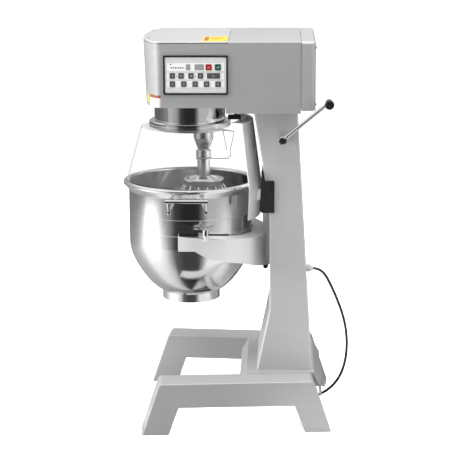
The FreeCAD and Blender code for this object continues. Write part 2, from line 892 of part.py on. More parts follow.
def bent_wire(points, radius):
    """Round wire along straight runs, with a ball at each corner."""
    pieces = []
    for start, end in zip(points, points[1:]):
        pieces.append(rod(start, end, radius))
    for corner in points[1:-1]:
        pieces.append(Part.makeSphere(radius, Vec(*corner)))
    return fused(pieces)


def retaining_clip():
    """The spring wire that stops the whisk's collar from dropping off its pin."""
    x = planet_x()
    radius = 1.4
    collar = 24.2
    y = -6.0
    loop = tube(x, 0, 764.4, 767.2, collar, collar - 4)
    arm = bent_wire(
        [(x + collar - 2, y, 765.8), (x + 73, y, 767), (x + 82, y, 776), (x + 80, y, 790),
         (x + 92, y, 848), (x + 58, y, 852), (x + 70, y, 792)],
        radius,
    )
    return fused([loop, arm])


# ---- guards -------------------------------------------------------------
def guard_ring():
    """The turning ring on the collar, grooved round its rim."""
    mid = (guard_ring_top + guard_ring_bottom) / 2
    inner = collar_spigot + running_gap * 6
    r = guard_ring_radius
    outline = [
        (inner, guard_ring_bottom), (r, guard_ring_bottom), (r, mid - 1.5), (r - 4, mid - 1.5),
        (r - 4, mid + 2.5), (r, mid + 2.5), (r, guard_ring_top - 2), (r - 2, guard_ring_top),
        (inner, guard_ring_top),
    ]
    return turned(outline, bowl_x, 0)


def clear_guard():
    """The clear cone round the front of the bowl, with a flat flange under the ring."""
    top = guard_ring_bottom
    slope = (guard_bottom_radius - guard_top_radius) / (top - guard_bottom)
    inner_top = guard_top_radius - guard_wall + slope * guard_wall
    outline = [
        (collar_spigot + 5, top), (guard_top_radius, top), (guard_bottom_radius, guard_bottom),
        (guard_bottom_radius - guard_wall, guard_bottom), (inner_top, top - guard_wall),
        (collar_spigot + 5, top - guard_wall),
    ]
    return turned(outline, bowl_x, 0, 180 - guard_half_angle, 2 * guard_half_angle)


def rear_guard():
    """The fixed bright sheet between the bowl and the column, with two standoffs behind it."""
    outer = [(148, 886), (188, 886), (214, 690), (209, 600)]
    inner = [(r - rear_guard_sheet, z) for r, z in reversed(outer[1:])]
    inner[-1] = (188 - rear_guard_sheet, 884)
    inner.append((148, 884))
    sheet = turned(outer + inner, bowl_x, 0, -rear_guard_half_angle, 2 * rear_guard_half_angle)
    filled = turned([(0, 600)] + [(r - 1, z) for r, z in reversed(outer[1:])] + [(0, 886)], bowl_x, 0)
    column = side_prism(column_outline(-0.3), -column_half_width, column_half_width)
    pieces = [sheet]
    for y in (-55, 55):
        standoff = box(40, column_front_x - 0.3, y - 12, y + 12, 652, 684)
        pieces.append(standoff.cut(filled).cut(column))
    return fused(pieces)


bracket_z0 = 632.0
bracket_z1 = 726.0
bracket_tip_z = 757.0
bracket_rear_x = 111.0
bracket_low_x = 68.0
bracket_high_x = 76.0
bracket_thickness = 5.0


def guard_bracket():
    """The black plastic cover plate on the column's near side, level with the bowl's rim."""
    y = -column_half_width
    outline = [
        (bracket_low_x, bracket_z0 + 6), (bracket_low_x + 5, bracket_z0), (bracket_rear_x, bracket_z0),
        (bracket_rear_x, bracket_z1), (bracket_high_x + 5, bracket_z1), (bracket_high_x, bracket_tip_z),
        (bracket_high_x - 3, bracket_tip_z), (bracket_high_x - 3, bracket_z1),
    ]
    plate = side_prism(outline, y - bracket_thickness, y - 0.1)
    for z in (648, 700):
        plate = plate.cut(rod((bracket_rear_x - 9, y - 10, z), (bracket_rear_x - 9, y + 1, z), 2.1))
    return plate


def guard_brackets():
    near = guard_bracket()
    return Part.makeCompound([near, mirrored(near)])


def cover_screw(x, z, wall_y, reach):
    """A small round-headed screw that points inwards from the near side."""
    head = rod((x, wall_y - 1.8, z), (x, wall_y, z), 3.6)
    shank = rod((x, wall_y, z), (x, wall_y + reach, z), 2.0)
    return head.fuse(shank)


def cover_screws():
    screws = []
    face = -column_half_width - bracket_thickness
    for z in (648, 700):
        screw = cover_screw(bracket_rear_x - 9, z, face, bracket_thickness - 0.1)
        screws += [screw, mirrored(screw)]
    return Part.makeCompound(screws)


def interlock_switch():
    """The black switch that feels whether the clear guard is closed."""
    case = box(-26, 12, -62, -44, 892, 905)
    case = case.makeFillet(1.5, [e for e in case.Edges if e.BoundBox.YLength > 10])
    stem = box(-8, 2, -58, -48, 904, head_rear_floor)
    return fused([case, stem])


# ---- bowl ---------------------------------------------------------------
def bowl_curve(inset, lift):
    """The round part of the wall from the foot to the straight wall, as an edge."""
    corners = [(86, bowl_floor_z), (119, 391), (152, 433), (175, 477), (wall_radius, wall_bottom)]
    points = [Vec(bowl_x + r - inset, 0, z + lift) for r, z in corners]
    curve = Part.BSplineCurve()
    curve.interpolate(points)
    return curve.toShape(), points[0], points[-1]


def bowl_solid(inset, lift, top):
    """A filled bowl, from its floor to the height top."""
    edge, low, high = bowl_curve(inset, lift)
    axis_low = Vec(bowl_x, 0, low.z)
    axis_high = Vec(bowl_x, 0, top)
    rim_point = Vec(high.x, 0, top)
    edges = [
        Part.LineSegment(axis_low, low).toShape(),
        edge,
        Part.LineSegment(high, rim_point).toShape(),
        Part.LineSegment(rim_point, axis_high).toShape(),
        Part.LineSegment(axis_high, axis_low).toShape(),
    ]
    face = Part.Face(Part.Wire(edges))
    return face.revolve(Vec(bowl_x, 0, 0), UP, 360)


def rim_ring():
    """The rolled rim with the flare that joins it to the wall."""
    centre = rim_radius - rim_bead
    bead_z = rim_top - rim_bead
    bead = Part.makeTorus(centre, rim_bead, Vec(bowl_x, 0, bead_z))
    flare = turned(
        [(wall_radius - 1, bead_z - 22), (wall_radius, bead_z - 22), (rim_radius - 3, bead_z - 5),
         (centre, bead_z), (wall_radius - 1, bead_z)],
        bowl_x, 0,
    )
    return bead, flare


def bowl_lug(side):
    """The ear on the wall that rests on the yoke and is held by the clamp."""
    z = yoke_top_tip + 0.5
    wall_y = wall_radius - 18
    plate = box(lug_x0, lug_x1, wall_y, 231, z, z + lug_thickness)
    ribs = [box(x - 3, x + 3, wall_y, 214, z, z + 20) for x in (lug_x0 + 6, lug_x0 + 24)]
    lug = fused([plate] + ribs)
    return lug if side > 0 else mirrored(lug)


def bowl_shell():
    bead, flare = rim_ring()
    outside = bowl_solid(0, 0, rim_top - rim_bead)
    foot = tube(bowl_x, 0, foot_bottom, bowl_floor_z + 3, foot_radius, foot_radius - foot_wall)
    outside = fused([outside, bead, flare, foot, bowl_lug(-1), bowl_lug(1)])
    inside = bowl_solid(bowl_wall, bowl_wall, rim_top + 1)
    return outside.cut(inside)


def bowl_handle():
    """The grip bar on the near side, with two stays at each end."""
    y = -handle_y
    wall_y = -wall_radius + 14
    pieces = [rod((bowl_x - handle_half, y, handle_z), (bowl_x + handle_half, y, handle_z), handle_bar)]
    for side in (-1, 1):
        x = bowl_x + side * (handle_half - 8)
        pieces.append(rod((x, y, handle_z), (x, wall_y, 636), stay_radius))
        pieces.append(rod((x, y, handle_z), (bowl_x + side * 38, -190, 690), stay_radius))
    handle = fused(pieces)
    return handle.cut(bowl_solid(0, 0, rim_top)).cut(rim_ring()[0]).cut(rim_ring()[1])


def bowl_handles():
    near = bowl_handle()
    near = max(near.Solids, key=lambda s: s.Volume)
    return Part.makeCompound([near, mirrored(near)])


# ---- yoke and lift ------------------------------------------------------
def yoke_top_at(x):
    return yoke_top_tip + yoke_top_slope * (x - yoke_tip_x)


def yoke_side_outline():
    root_x = bowl_x + yoke_radius + 2
    tip_low = yoke_top_tip - yoke_tip_height
    return [
        (yoke_tip_x, yoke_top_tip),
        (root_x, yoke_top_at(root_x)),
        (root_x, 450),
        (19, 484),
        (-83, 512),
        (-118, tip_low),
        (yoke_tip_x, tip_low),
    ]


def bowl_yoke():
    """The curved casting round the bowl, its top flange, clamp bosses and rear pad."""
    reach = yoke_radius + 5
    band = tube(bowl_x, 0, 440, 590, yoke_radius, yoke_radius - yoke_wall)
    band = band.common(side_prism(yoke_side_outline(), -reach, reach))
    root_x = bowl_x + yoke_radius + 2
    flange_outline = [
        (yoke_tip_x, yoke_top_tip), (root_x, yoke_top_at(root_x)),
        (root_x, yoke_top_at(root_x) - yoke_flange_depth), (yoke_tip_x, yoke_top_tip - yoke_flange_depth),
    ]
    flange = tube(bowl_x, 0, 440, 590, yoke_radius, yoke_flange_inner)
    flange = flange.common(side_prism(flange_outline, -reach, reach))
    pad = box(pad_x0, pad_x1, -pad_half, pad_half, pad_bottom, pad_top)
    pieces = [band, flange, pad]
    for side in (-1, 1):
        y = side * clamp_y
        pieces.append(rod((clamp_x, y, 562), (clamp_x, y, yoke_top_tip + 1), 9))
        pieces.append(rod((clamp_x, y, 570), (clamp_x, y, yoke_top_tip + 21), clamp_pin))
    stop_head = rod((pad_x0 + 11, -40, pad_bottom - 13), (pad_x0 + 11, -40, pad_bottom + 1), 6.5)
    pieces.append(stop_head)
    return fused(pieces)


def bowl_clamp():
    """The near clamp: hub on its pin, nose over the bowl's ear, flat lever behind."""
    y = -clamp_y
    z = yoke_top_tip + 1.3
    hub = rod((clamp_x, y, z), (clamp_x, y, z + 16), 10)
    nose = box(clamp_x - 33, clamp_x, y - 6, y + 6, z + 8.5, z + 15)
    lever = box(clamp_x, clamp_x + 70, y - 7, y + 5, z + 1, z + 6)
    upright = [e for e in lever.Edges if e.BoundBox.ZLength > 4]
    lever = lever.makeFillet(4.0, [e for e in upright if e.BoundBox.XMin > clamp_x + 1])
    clamp = fused([hub, nose, lever])
    return clamp.cut(rod((clamp_x, y, z - 1), (clamp_x, y, z + 20), clamp_pin + running_gap))


def lift_carriage():
    """The block on the guide rods, its neck through the column's slot, and its rack."""
    front = column_front_x + column_wall + 4
    block = box(front, block_rear_x, -84, 84, block_bottom, block_top)
    neck = box(pad_x1, front, -neck_half, neck_half, block_bottom, block_top)
    pinion_z = lift_pinion_place()[1]
    rack_top = pinion_z + lift_travel + 14
    bar = box(rack_front_x, rack_root_x, -rack_half, rack_half, block_bottom, rack_top)
    body = fused([block, neck, bar])
    for y in (-rod_y, rod_y):
        bore = rod((rod_x, y, block_bottom - 1), (rod_x, y, block_top + 1), rod_radius + running_gap)
        body = body.cut(bore)
    return fused([body] + rack_teeth(pinion_z, rack_top))


def rack_teeth(mesh_z, rack_top):
    """Trapezoid teeth up the bar, with a gap level with the pinion's centre."""
    pitch = math.pi * lift_module
    half = pitch / 4 - tooth_backlash / 2
    lean = math.tan(pressure_angle)
    tip_x = rack_pitch_x + 0.92 * lift_module
    half_root = half + lean * (rack_pitch_x - rack_root_x)
    half_tip = half - lean * (tip_x - rack_pitch_x)
    teeth = []
    z = mesh_z + pitch / 2 - 2 * pitch
    while z + half_root < rack_top:
        outline = [
            (rack_root_x - 0.5, z - half_root), (rack_root_x, z - half_root), (tip_x, z - half_tip),
            (tip_x, z + half_tip), (rack_root_x, z + half_root), (rack_root_x - 0.5, z + half_root),
        ]
        teeth.append(side_prism(outline, -rack_half, rack_half))
        z += pitch
    return teeth


pinion_phase = math.pi


def lift_pinion():
    x, z = lift_pinion_place()
    gear = upright_gear(pinion_teeth, lift_module, pinion_phase, x, z, pinion_y0, pinion_y1)
    end = column_half_width - column_wall - 0.5
    return fused([gear, rod((x, -end, z), (x, end, z), pinion_shaft_radius)])


def crank_shaft():
    x, z = lift_pinion_place()
    towards_pinion = math.atan2(z - crank_z, x - crank_x)
    towards_crank = math.atan2(crank_z - z, crank_x - x)
    phase = meshing_phase(crank_teeth, towards_pinion, pinion_phase, pinion_teeth, towards_crank)
    gear = upright_gear(crank_teeth, lift_module, phase, crank_x, crank_z, crank_gear_y0, crank_gear_y1)
    far_end = column_half_width + 8
    shaft = rod((crank_x, lever_y + 14, crank_z), (crank_x, far_end, crank_z), crank_shaft_radius)
    return fused([gear, shaft])


def crank_lever():
    """The hub on the shaft's end, the round arm, and the pin that the knob turns on."""
    front = Vec(crank_x, lever_y - 9, crank_z)
    nose = Part.makeCone(lever_hub_radius, lever_hub_radius + 3, 4, front, ACROSS)
    hub = rod((crank_x, lever_y - 5, crank_z), (crank_x, lever_y + 13.9, crank_z), lever_hub_radius + 3)
    arm = rod((crank_x, lever_y, crank_z), (knob_x, lever_y, knob_z), lever_radius)
    eye = rod((knob_x, lever_y - 6, knob_z), (knob_x, lever_y + 6, knob_z), 7.5)
    pin_end = lever_y - knob_length - 11
    pin = rod((knob_x, lever_y, knob_z), (knob_x, pin_end, knob_z), 4)
    cap = rod((knob_x, pin_end, knob_z), (knob_x, pin_end + 2.8, knob_z), 6.5)
    return fused([nose, hub, arm, eye, pin, cap])


def crank_knob():
    """The black grip, a turned barrel that runs freely on the lever's pin."""
    length = knob_length
    bore = 4 + running_gap
    outline = [
        (bore, 0), (knob_radius - 4, 0), (knob_radius - 2.2, 2), (knob_radius - 3.6, length * 0.35),
        (knob_radius - 1, length * 0.75), (knob_radius, length * 0.9), (knob_radius - 1.5, length - 1),
        (knob_radius - 3, length), (bore, length),
    ]
    grip = turned(outline, 0, 0)
    grip.rotate(Vec(0, 0, 0), ALONG, 90)
    grip.translate(Vec(knob_x, lever_y - 7, knob_z))
    return grip


# ---- mains lead ---------------------------------------------------------
def column_rear_x_at(z):
    share = (z - base_top) / (column_top - base_top)
    return column_rear_foot_x + (column_rear_top_x - column_rear_foot_x) * share


def gland_face_x():
    return column_rear_x_at(gland_z) + 0.9


def cable_gland():
    """A shank through the column's wall, a hexagon nut and a tapered sleeve round the lead."""
    start = gland_face_x()
    hexagon = []
    for k in range(6):
        angle = math.pi * k / 3
        hexagon.append((start, 12.5 * math.cos(angle), gland_z + 12.5 * math.sin(angle)))
    nut = polygon_face(hexagon).extrude(Vec(9, 0, 0))
    sleeve = Part.makeCone(11, 6.2, gland_length - 9, Vec(start + 9, 0, gland_z), ALONG)
    shank = rod((start - 8, 0, gland_z), (start, 0, gland_z), gland_shank)
    gland = fused([nut, sleeve, shank])
    return gland.cut(rod((start - 9, 0, gland_z), (start + gland_length + 1, 0, gland_z), cord_radius))


def cord_route():
    """Corners of the lead, from inside the gland to where it joins the stored turns."""
    exit_x = gland_face_x() + gland_length
    floor_z = cord_radius + 0.5
    side_y = coil_y - coil_middle_radius
    return [
        (exit_x - 16, 0, gland_z),
        (exit_x + 11, 0, gland_z),
        (exit_x + 35, 0, gland_z - 16),
        (exit_x + 57, -1, gland_z - 58),
        (exit_x + 79, 0, gland_z - 110),
        (exit_x + 98, 2, gland_z - 168),
        (exit_x + 106, 6, gland_z - 232),
        (exit_x + 102, 11, gland_z - 296),
        (exit_x + 84, 17, gland_z - 352),
        (exit_x + 50, 23, gland_z - 394),
        (exit_x + 4, 27, gland_z - 418),
        (exit_x - 48, 25, floor_z),
        (coil_x + 22, side_y, floor_z),
    ]


def cord_path():
    """Straight runs joined by tangent arcs, and the arcs' radii."""
    points = [Vec(*p) for p in cord_route()]
    edges = []
    radii = []
    last = points[0]
    for before, corner, after in zip(points, points[1:], points[2:]):
        into = (corner - before).normalize()
        out = (after - corner).normalize()
        turn = math.acos(max(-1.0, min(1.0, into.dot(out))))
        reach = 0.45 * min((corner - before).Length, (after - corner).Length)
        radius = reach / math.tan(turn / 2)
        start = corner - into * reach
        end = corner + out * reach
        to_centre = (out - into).normalize()
        centre = corner + to_centre * (radius / math.cos(turn / 2))
        middle = centre - to_centre * radius
        edges.append(Part.LineSegment(last, start).toShape())
        edges.append(Part.Arc(start, middle, end).toShape())
        radii.append(radius)
        last = end
    edges.append(Part.LineSegment(last, points[-1]).toShape())
    return Part.Wire(edges), radii


def mains_cord():
    path, radii = cord_path()
    start = Vec(*cord_route()[0])
    heading = Vec(*cord_route()[1]) - start
    section = Part.Wire(Part.Circle(start, heading, cord_radius).toShape())
    lead = path.makePipeShell([section], True, False)
    print("cord run", round(path.Length, 1), "mm, least radius", round(min(radii), 1))
    ideal = math.pi * cord_radius ** 2 * path.Length
    print("cord volume over section times length", round(lead.Volume / ideal, 4))
    return lead


def cord_coil():
    """The outer shape of the stored turns, which lie flat on the floor."""
    half_across = coil_turns_across * cord_radius
    height = coil_layers * 2 * cord_radius
    outer = coil_middle_radius + half_across
    inner = coil_middle_radius - half_across
    return tube(coil_x, coil_y, 0.5, 0.5 + height, outer, inner)


def mains_plug():
    """A plain two-pin plug on its side, with a tapered tail towards the coil."""
    y = coil_y + coil_middle_radius
    z = plug_radius + 0.5
    tail_x = coil_x + 18
    body_x = tail_x + 34
    tip_x = body_x + plug_length
    tail = Part.makeCone(5.2, 8, body_x - tail_x + 1, Vec(tail_x, y, z), ALONG)
    body = rod((body_x, y, z), (tip_x, y, z), plug_radius)
    body = body.makeChamfer(3.0, [e for e in body.Edges if e.BoundBox.XLength < 1])
    pins = [rod((tip_x - 1, y + s * 8.5, z), (tip_x + 19, y + s * 8.5, z), 2.4) for s in (-1, 1)]
    return fused([tail, body] + pins)


# ---- write every piece --------------------------------------------------
def all_pieces():
    pieces = {
        "near_base_beam": placed_beam(-1),
        "far_base_beam": placed_beam(1),
        "base_cross_member": base_cross_member(),
        "column_body": column_body(),
        "guide_rods": guide_rods(),
        "head_housing": head_housing(),
        "head_front_cover": head_front_cover(),
        "head_rear_cap": head_rear_cap(),
        "control_bezel": control_bezel(),
        "control_plate": control_plate(),
        "display_windows": display_windows(),
        "indicator_lamps": indicator_lamps(),
        "neck_collar": neck_collar(),
        "ring_gear": ring_gear(),
        "rear_guard": rear_guard(),
        "guard_brackets": guard_brackets(),
        "cover_screws": cover_screws(),
        "interlock_switch": interlock_switch(),
        "motor_body": motor_body(),
        "drive_frame": drive_frame(),
        "shaft_bearings": shaft_bearings(),
        "drive_belt": drive_belt(),
        "cable_gland": cable_gland(),
        "mains_cord": mains_cord(),
        "cord_coil": cord_coil(),
        "mains_plug": mains_plug(),
        "motor_pulley": motor_pulley(),
        "lay_shaft": lay_shaft(),
        "lay_shaft_pulley": lay_shaft_pulley(),
        "main_gear": main_gear(),
        "planet_carrier": planet_carrier(),
        "agitator_shaft": agitator_shaft(),
        "whisk_head": whisk_head(),
        "whisk_wires": whisk_wires(),
        "retaining_clip": retaining_clip(),
        "guard_ring": guard_ring(),
        "clear_guard": clear_guard(),
        "bowl_yoke": bowl_yoke(),
        "lift_carriage": lift_carriage(),
        "bowl_shell": bowl_shell(),
        "bowl_handles": bowl_handles(),
        "near_bowl_clamp": bowl_clamp(),
        "far_bowl_clamp": mirrored(bowl_clamp()),
        "crank_shaft": crank_shaft(),
        "crank_lever": crank_lever(),
        "crank_knob": crank_knob(),
        "lift_pinion": lift_pinion(),
    }
    for name, x, z, width in key_table():
        pieces[name] = keypad_key(x, z, width)
    return pieces


def main():
    os.makedirs("parts", exist_ok=True)
    pieces = all_pieces()
    for name, shape in pieces.items():
        if not shape.isValid():
            print("invalid", name)
        if shape.ShapeType == "Compound" and len(shape.Solids) == 1:
            shape = shape.Solids[0]
        shape.translate(Vec(outline_shift, 0, 0))
        shape.exportStep("parts/" + name + ".step")
        print(name, len(shape.Solids), "solids", round(shape.Volume / 1000, 1), "cm3")
    print(len(pieces), "pieces")


main()
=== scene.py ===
import json
import math

import bmesh
import bpy
from mathutils import Matrix, Vector


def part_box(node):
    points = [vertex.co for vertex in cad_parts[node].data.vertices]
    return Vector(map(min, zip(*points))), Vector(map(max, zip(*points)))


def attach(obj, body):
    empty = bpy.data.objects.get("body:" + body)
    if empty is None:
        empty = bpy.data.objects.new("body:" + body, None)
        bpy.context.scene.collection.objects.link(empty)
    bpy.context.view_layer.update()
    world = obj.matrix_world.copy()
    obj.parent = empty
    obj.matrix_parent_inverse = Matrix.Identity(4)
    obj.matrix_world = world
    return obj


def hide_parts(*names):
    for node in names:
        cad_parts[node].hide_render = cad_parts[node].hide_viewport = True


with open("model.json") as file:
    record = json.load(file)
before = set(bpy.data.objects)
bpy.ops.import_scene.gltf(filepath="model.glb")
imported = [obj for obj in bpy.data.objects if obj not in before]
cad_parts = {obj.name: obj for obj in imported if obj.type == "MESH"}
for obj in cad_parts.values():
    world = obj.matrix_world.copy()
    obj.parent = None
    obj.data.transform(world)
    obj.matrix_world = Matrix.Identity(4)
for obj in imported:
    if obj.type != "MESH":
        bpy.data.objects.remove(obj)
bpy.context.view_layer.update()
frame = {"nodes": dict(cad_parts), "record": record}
nodes = frame["nodes"]
scene = bpy.context.scene
scene.view_settings.view_transform = "Standard"

# The middle of the base lies this far along X from the origin.
BASE_X = 0.03065


def at(x, y, z):
    """A point in metres from millimetres counted from the middle of the base."""
    return Vector((x / 1000 + BASE_X, y / 1000, z / 1000))


# ---- camera -------------------------------------------------------------
def make_camera():
    yaw, pitch, roll = -0.030274, 0.219104, -0.0038
    forward = Vector((math.sin(yaw) * math.cos(pitch), math.cos(yaw) * math.cos(pitch), -math.sin(pitch)))
    right = Vector((math.cos(yaw), -math.sin(yaw), 0))
    up = right.cross(forward)
    side = right * math.cos(roll) + up * math.sin(roll)
    top = up * math.cos(roll) - right * math.sin(roll)
    camera = bpy.data.objects.new("camera", bpy.data.cameras.new("camera"))
    scene.collection.objects.link(camera)
    camera.data.sensor_width = 36.0
    camera.data.lens = 132.6
    rotation = Matrix((side, top, -forward)).transposed().to_4x4()
    camera.matrix_world = Matrix.Translation((0.12783 + BASE_X, -4.98099, 1.65593)) @ rotation
    camera.data.clip_end = 100
    scene.camera = camera


make_camera()


# ---- material helpers ---------------------------------------------------
class Shader:
    """A material whose nodes are placed by name, with short ways to add noise and bumps."""

    def __init__(self, name):
        self.material = bpy.data.materials.new(name)
        self.material.use_nodes = True
        self.tree = self.material.node_tree
        self.out = self.tree.nodes["Principled BSDF"]
        self.place = self.add("ShaderNodeTexCoord").outputs["Object"]

    def add(self, kind, **values):
        node = self.tree.nodes.new(kind)
        for key, value in values.items():
            setattr(node, key, value)
        return node

    def link(self, source, target):
        self.tree.links.new(source, target)

    def stretched(self, scale):
        mapping = self.add("ShaderNodeMapping")
        mapping.inputs["Scale"].default_value = scale
        self.link(self.place, mapping.inputs["Vector"])
        return mapping.outputs["Vector"]

    def noise(self, scale, detail=3.0, stretch=None, roughness=0.5):
        node = self.add("ShaderNodeTexNoise")
        node.inputs["Scale"].default_value = scale
        node.inputs["Detail"].default_value = detail
        node.inputs["Roughness"].default_value = roughness
        self.link(self.stretched(stretch) if stretch else self.place, node.inputs["Vector"])
        return node.outputs["Fac"]

    def ranged(self, source, low, high, out_low, out_high):
        node = self.add("ShaderNodeMapRange")
        limits = {"From Min": low, "From Max": high, "To Min": out_low, "To Max": out_high}
        for name, value in limits.items():
            node.inputs[name].default_value = value
        self.link(source, node.inputs["Value"])
        return node.outputs["Result"]

    def maths(self, operation, first, second):
        node = self.add("ShaderNodeMath", operation=operation)
        for socket, value in zip(node.inputs, (first, second)):
            if isinstance(value, (int, float)):
                socket.default_value = value
            else:
                self.link(value, socket)
        return node.outputs[0]

    def mixed(self, factor, first, second):
        node = self.add("ShaderNodeMix", data_type="RGBA")
        self.link(factor, node.inputs["Factor"])
        for socket, value in ((node.inputs["A"], first), (node.inputs["B"], second)):
            if isinstance(value, (tuple, list)):
                socket.default_value = (*value, 1.0)
            else:
                self.link(value, socket)
        return node.outputs["Result"]

    def bump(self, height, strength, distance):
        node = self.add("ShaderNodeBump")
        node.inputs["Strength"].default_value = strength
        node.inputs["Distance"].default_value = distance
        self.link(height, node.inputs["Height"])
        previous = self.out.inputs["Normal"].links
        if previous:
            self.link(previous[0].from_socket, node.inputs["Normal"])
        self.link(node.outputs["Normal"], self.out.inputs["Normal"])

    def set(self, **values):
        for key, value in values.items():
            self.out.inputs[key.replace("_", " ").title()].default_value = value


def shade(colour, amount):
    return tuple(min(1.0, c * amount) for c in colour)


def paint(name, colour, rough=0.36, metallic=0.45, sparkle=0.03, mottle=0.05):
    """Metallic enamel: fine flake, soft mottling, and a faint drawn grain."""
    s = Shader(name)
    flake = s.ranged(s.noise(180, 2), 0.3, 0.7, 0.0, 1.0)
    cloud = s.ranged(s.noise(30, 3, (0.3, 0.3, 6.0), 0.5), 0.3, 0.7, 0.0, 1.0)
    base = s.mixed(cloud, shade(colour, 1 - mottle), shade(colour, 1 + mottle))
    flaked = s.mixed(flake, shade(colour, 1 - sparkle), shade(colour, 1 + sparkle))
    both = s.add("ShaderNodeMix", data_type="RGBA")
    both.inputs["Factor"].default_value = 0.5
    s.link(base, both.inputs["A"])
    s.link(flaked, both.inputs["B"])
    s.link(both.outputs["Result"], s.out.inputs["Base Color"])
    streaks = s.ranged(s.noise(30, 3, (0.3, 0.3, 6.0), 0.5), 0.3, 0.7, -0.03, 0.03)
    smear = s.maths("ADD", streaks, s.ranged(flake, 0, 1, rough - 0.01, rough + 0.01))
    s.link(smear, s.out.inputs["Roughness"])
    s.set(metallic=metallic)
    s.out.inputs["Coat Weight"].default_value = 0.25
    s.out.inputs["Coat Roughness"].default_value = 0.12
    s.bump(s.noise(30, 3, (0.3, 0.3, 6.0)), 0.02, 0.0004)
    return s.material


def metal(
    name, colour, rough=0.2, grain=(1, 1, 1), grain_scale=160, grain_bump=0.05, spread=0.06, smudge=0.05,
    metallic=1.0,
):
    """Bare or plated metal with grain stretched along its machining direction."""
    s = Shader(name)
    lines = s.noise(grain_scale, 4, grain)
    cloud = s.ranged(s.noise(9, 5), 0.3, 0.7, 0.0, 1.0)
    fine = s.ranged(lines, 0.3, 0.7, 0.0, 1.0)
    base = s.mixed(cloud, shade(colour, 1 - smudge), shade(colour, 1 + smudge))
    lined = s.mixed(fine, base, shade(colour, 1 - 2 * smudge))
    both = s.add("ShaderNodeMix", data_type="RGBA")
    both.inputs["Factor"].default_value = 0.35
    s.link(base, both.inputs["A"])
    s.link(lined, both.inputs["B"])
    s.link(both.outputs["Result"], s.out.inputs["Base Color"])
    half = spread * 0.5
    worn = s.ranged(cloud, 0, 1, -half, half)
    rub = s.maths("ADD", worn, s.ranged(fine, 0, 1, rough - half, rough + half))
    s.link(s.maths("MAXIMUM", rub, 0.02), s.out.inputs["Roughness"])
    s.set(metallic=metallic)
    s.bump(lines, grain_bump, 0.0005)
    return s.material


def plastic(name, colour, rough=0.45, grain_scale=700, grain_bump=0.15, scuff=0.25, coat=0.0):
    """Moulded plastic or rubber: fine moulded texture, a little dust and paler scuffs."""
    s = Shader(name)
    dust = s.ranged(s.noise(22, 6, roughness=0.65), 0.45, 0.75, 0.0, 1.0)
    speck = s.ranged(s.noise(grain_scale, 2), 0.35, 0.65, 0.0, 1.0)
    base = s.mixed(speck, shade(colour, 0.88), shade(colour, 1.12))
    dusted = s.mixed(s.maths("MULTIPLY", dust, scuff), base, tuple(min(1, c * 1.3 + 0.03) for c in colour))
    s.link(dusted, s.out.inputs["Base Color"])
    s.link(s.ranged(s.noise(35, 5), 0.3, 0.7, rough - 0.07, rough + 0.07), s.out.inputs["Roughness"])
    s.out.inputs["Coat Weight"].default_value = coat
    s.bump(s.noise(grain_scale, 3), grain_bump, 0.0002)
    return s.material


def clear_plastic(name):
    """Thin clear sheet: denser where it is seen edge on, with faint smears."""
    s = Shader(name)
    edge = s.add("ShaderNodeLayerWeight")
    edge.inputs["Blend"].default_value = 0.35
    smear = s.ranged(s.noise(12, 6), 0.4, 0.75, 0.0, 0.025)
    film = s.maths("ADD", s.ranged(edge.outputs["Facing"], 0.55, 1.0, 0.055, 0.75), smear)
    s.link(film, s.out.inputs["Alpha"])
    haze = s.ranged(s.noise(8, 5), 0.3, 0.7, 0.0, 1.0)
    s.link(s.mixed(haze, (0.34, 0.35, 0.35), (0.42, 0.43, 0.43)), s.out.inputs["Base Color"])
    s.link(s.ranged(s.noise(30, 4), 0.3, 0.7, 0.03, 0.10), s.out.inputs["Roughness"])
    s.out.inputs["IOR"].default_value = 1.5
    return s.material


def polished_bowl(name):
    """Polished stainless: spun rings round the axis, soft draw marks and faint hand smears."""
    s = Shader(name)
    rings = s.noise(60, 4, (0.4, 0.4, 9.0))
    fine = s.noise(240, 3, (0.5, 0.5, 8.0))
    cloud = s.ranged(s.noise(7, 6), 0.35, 0.7, 0.0, 1.0)
    tint = s.mixed(cloud, (0.80, 0.80, 0.795), (0.88, 0.88, 0.875))
    drawn = s.ranged(fine, 0.3, 0.7, 0.0, 0.35)
    s.link(s.mixed(drawn, tint, (0.74, 0.74, 0.74)), s.out.inputs["Base Color"])
    rough = s.maths("ADD", s.ranged(cloud, 0, 1, 0.09, 0.16), s.ranged(fine, 0.3, 0.7, -0.02, 0.04))
    s.link(rough, s.out.inputs["Roughness"])
    s.set(metallic=1.0)
    s.bump(rings, 0.04, 0.0006)
    s.bump(fine, 0.03, 0.0003)
    return s.material


def keypad_film(name):
    """Printed film: pale grey with lighter bands behind the rows of keys."""
    s = Shader(name)
    split = s.add("ShaderNodeSeparateXYZ")
    s.link(s.place, split.inputs[0])
    bands = None
    for middle, half in ((1.0150, 0.0092), (1.0375, 0.0090), (1.0640, 0.0115)):
        away = s.maths("ABSOLUTE", s.maths("SUBTRACT", split.outputs["Z"], middle), 0.0)
        band = s.ranged(away, half, half - 0.0006, 0.0, 1.0)
        bands = band if bands is None else s.maths("MAXIMUM", bands, band)
    across = s.maths("ABSOLUTE", s.maths("SUBTRACT", split.outputs["X"], BASE_X - 0.113), 0.0)
    bands = s.maths("MULTIPLY", bands, s.ranged(across, 0.0815, 0.0805, 0.0, 1.0))
    speck = s.ranged(s.noise(300, 3), 0.3, 0.7, 0.0, 1.0)
    grey = s.mixed(speck, (0.40, 0.405, 0.405), (0.44, 0.445, 0.445))
    pale = s.mixed(speck, (0.56, 0.56, 0.56), (0.60, 0.60, 0.60))
    s.link(s.mixed(bands, grey, pale), s.out.inputs["Base Color"])
    s.link(s.ranged(s.noise(25, 5), 0.3, 0.7, 0.28, 0.42), s.out.inputs["Roughness"])
    s.bump(s.noise(900, 2), 0.05, 0.0002)
    return s.material


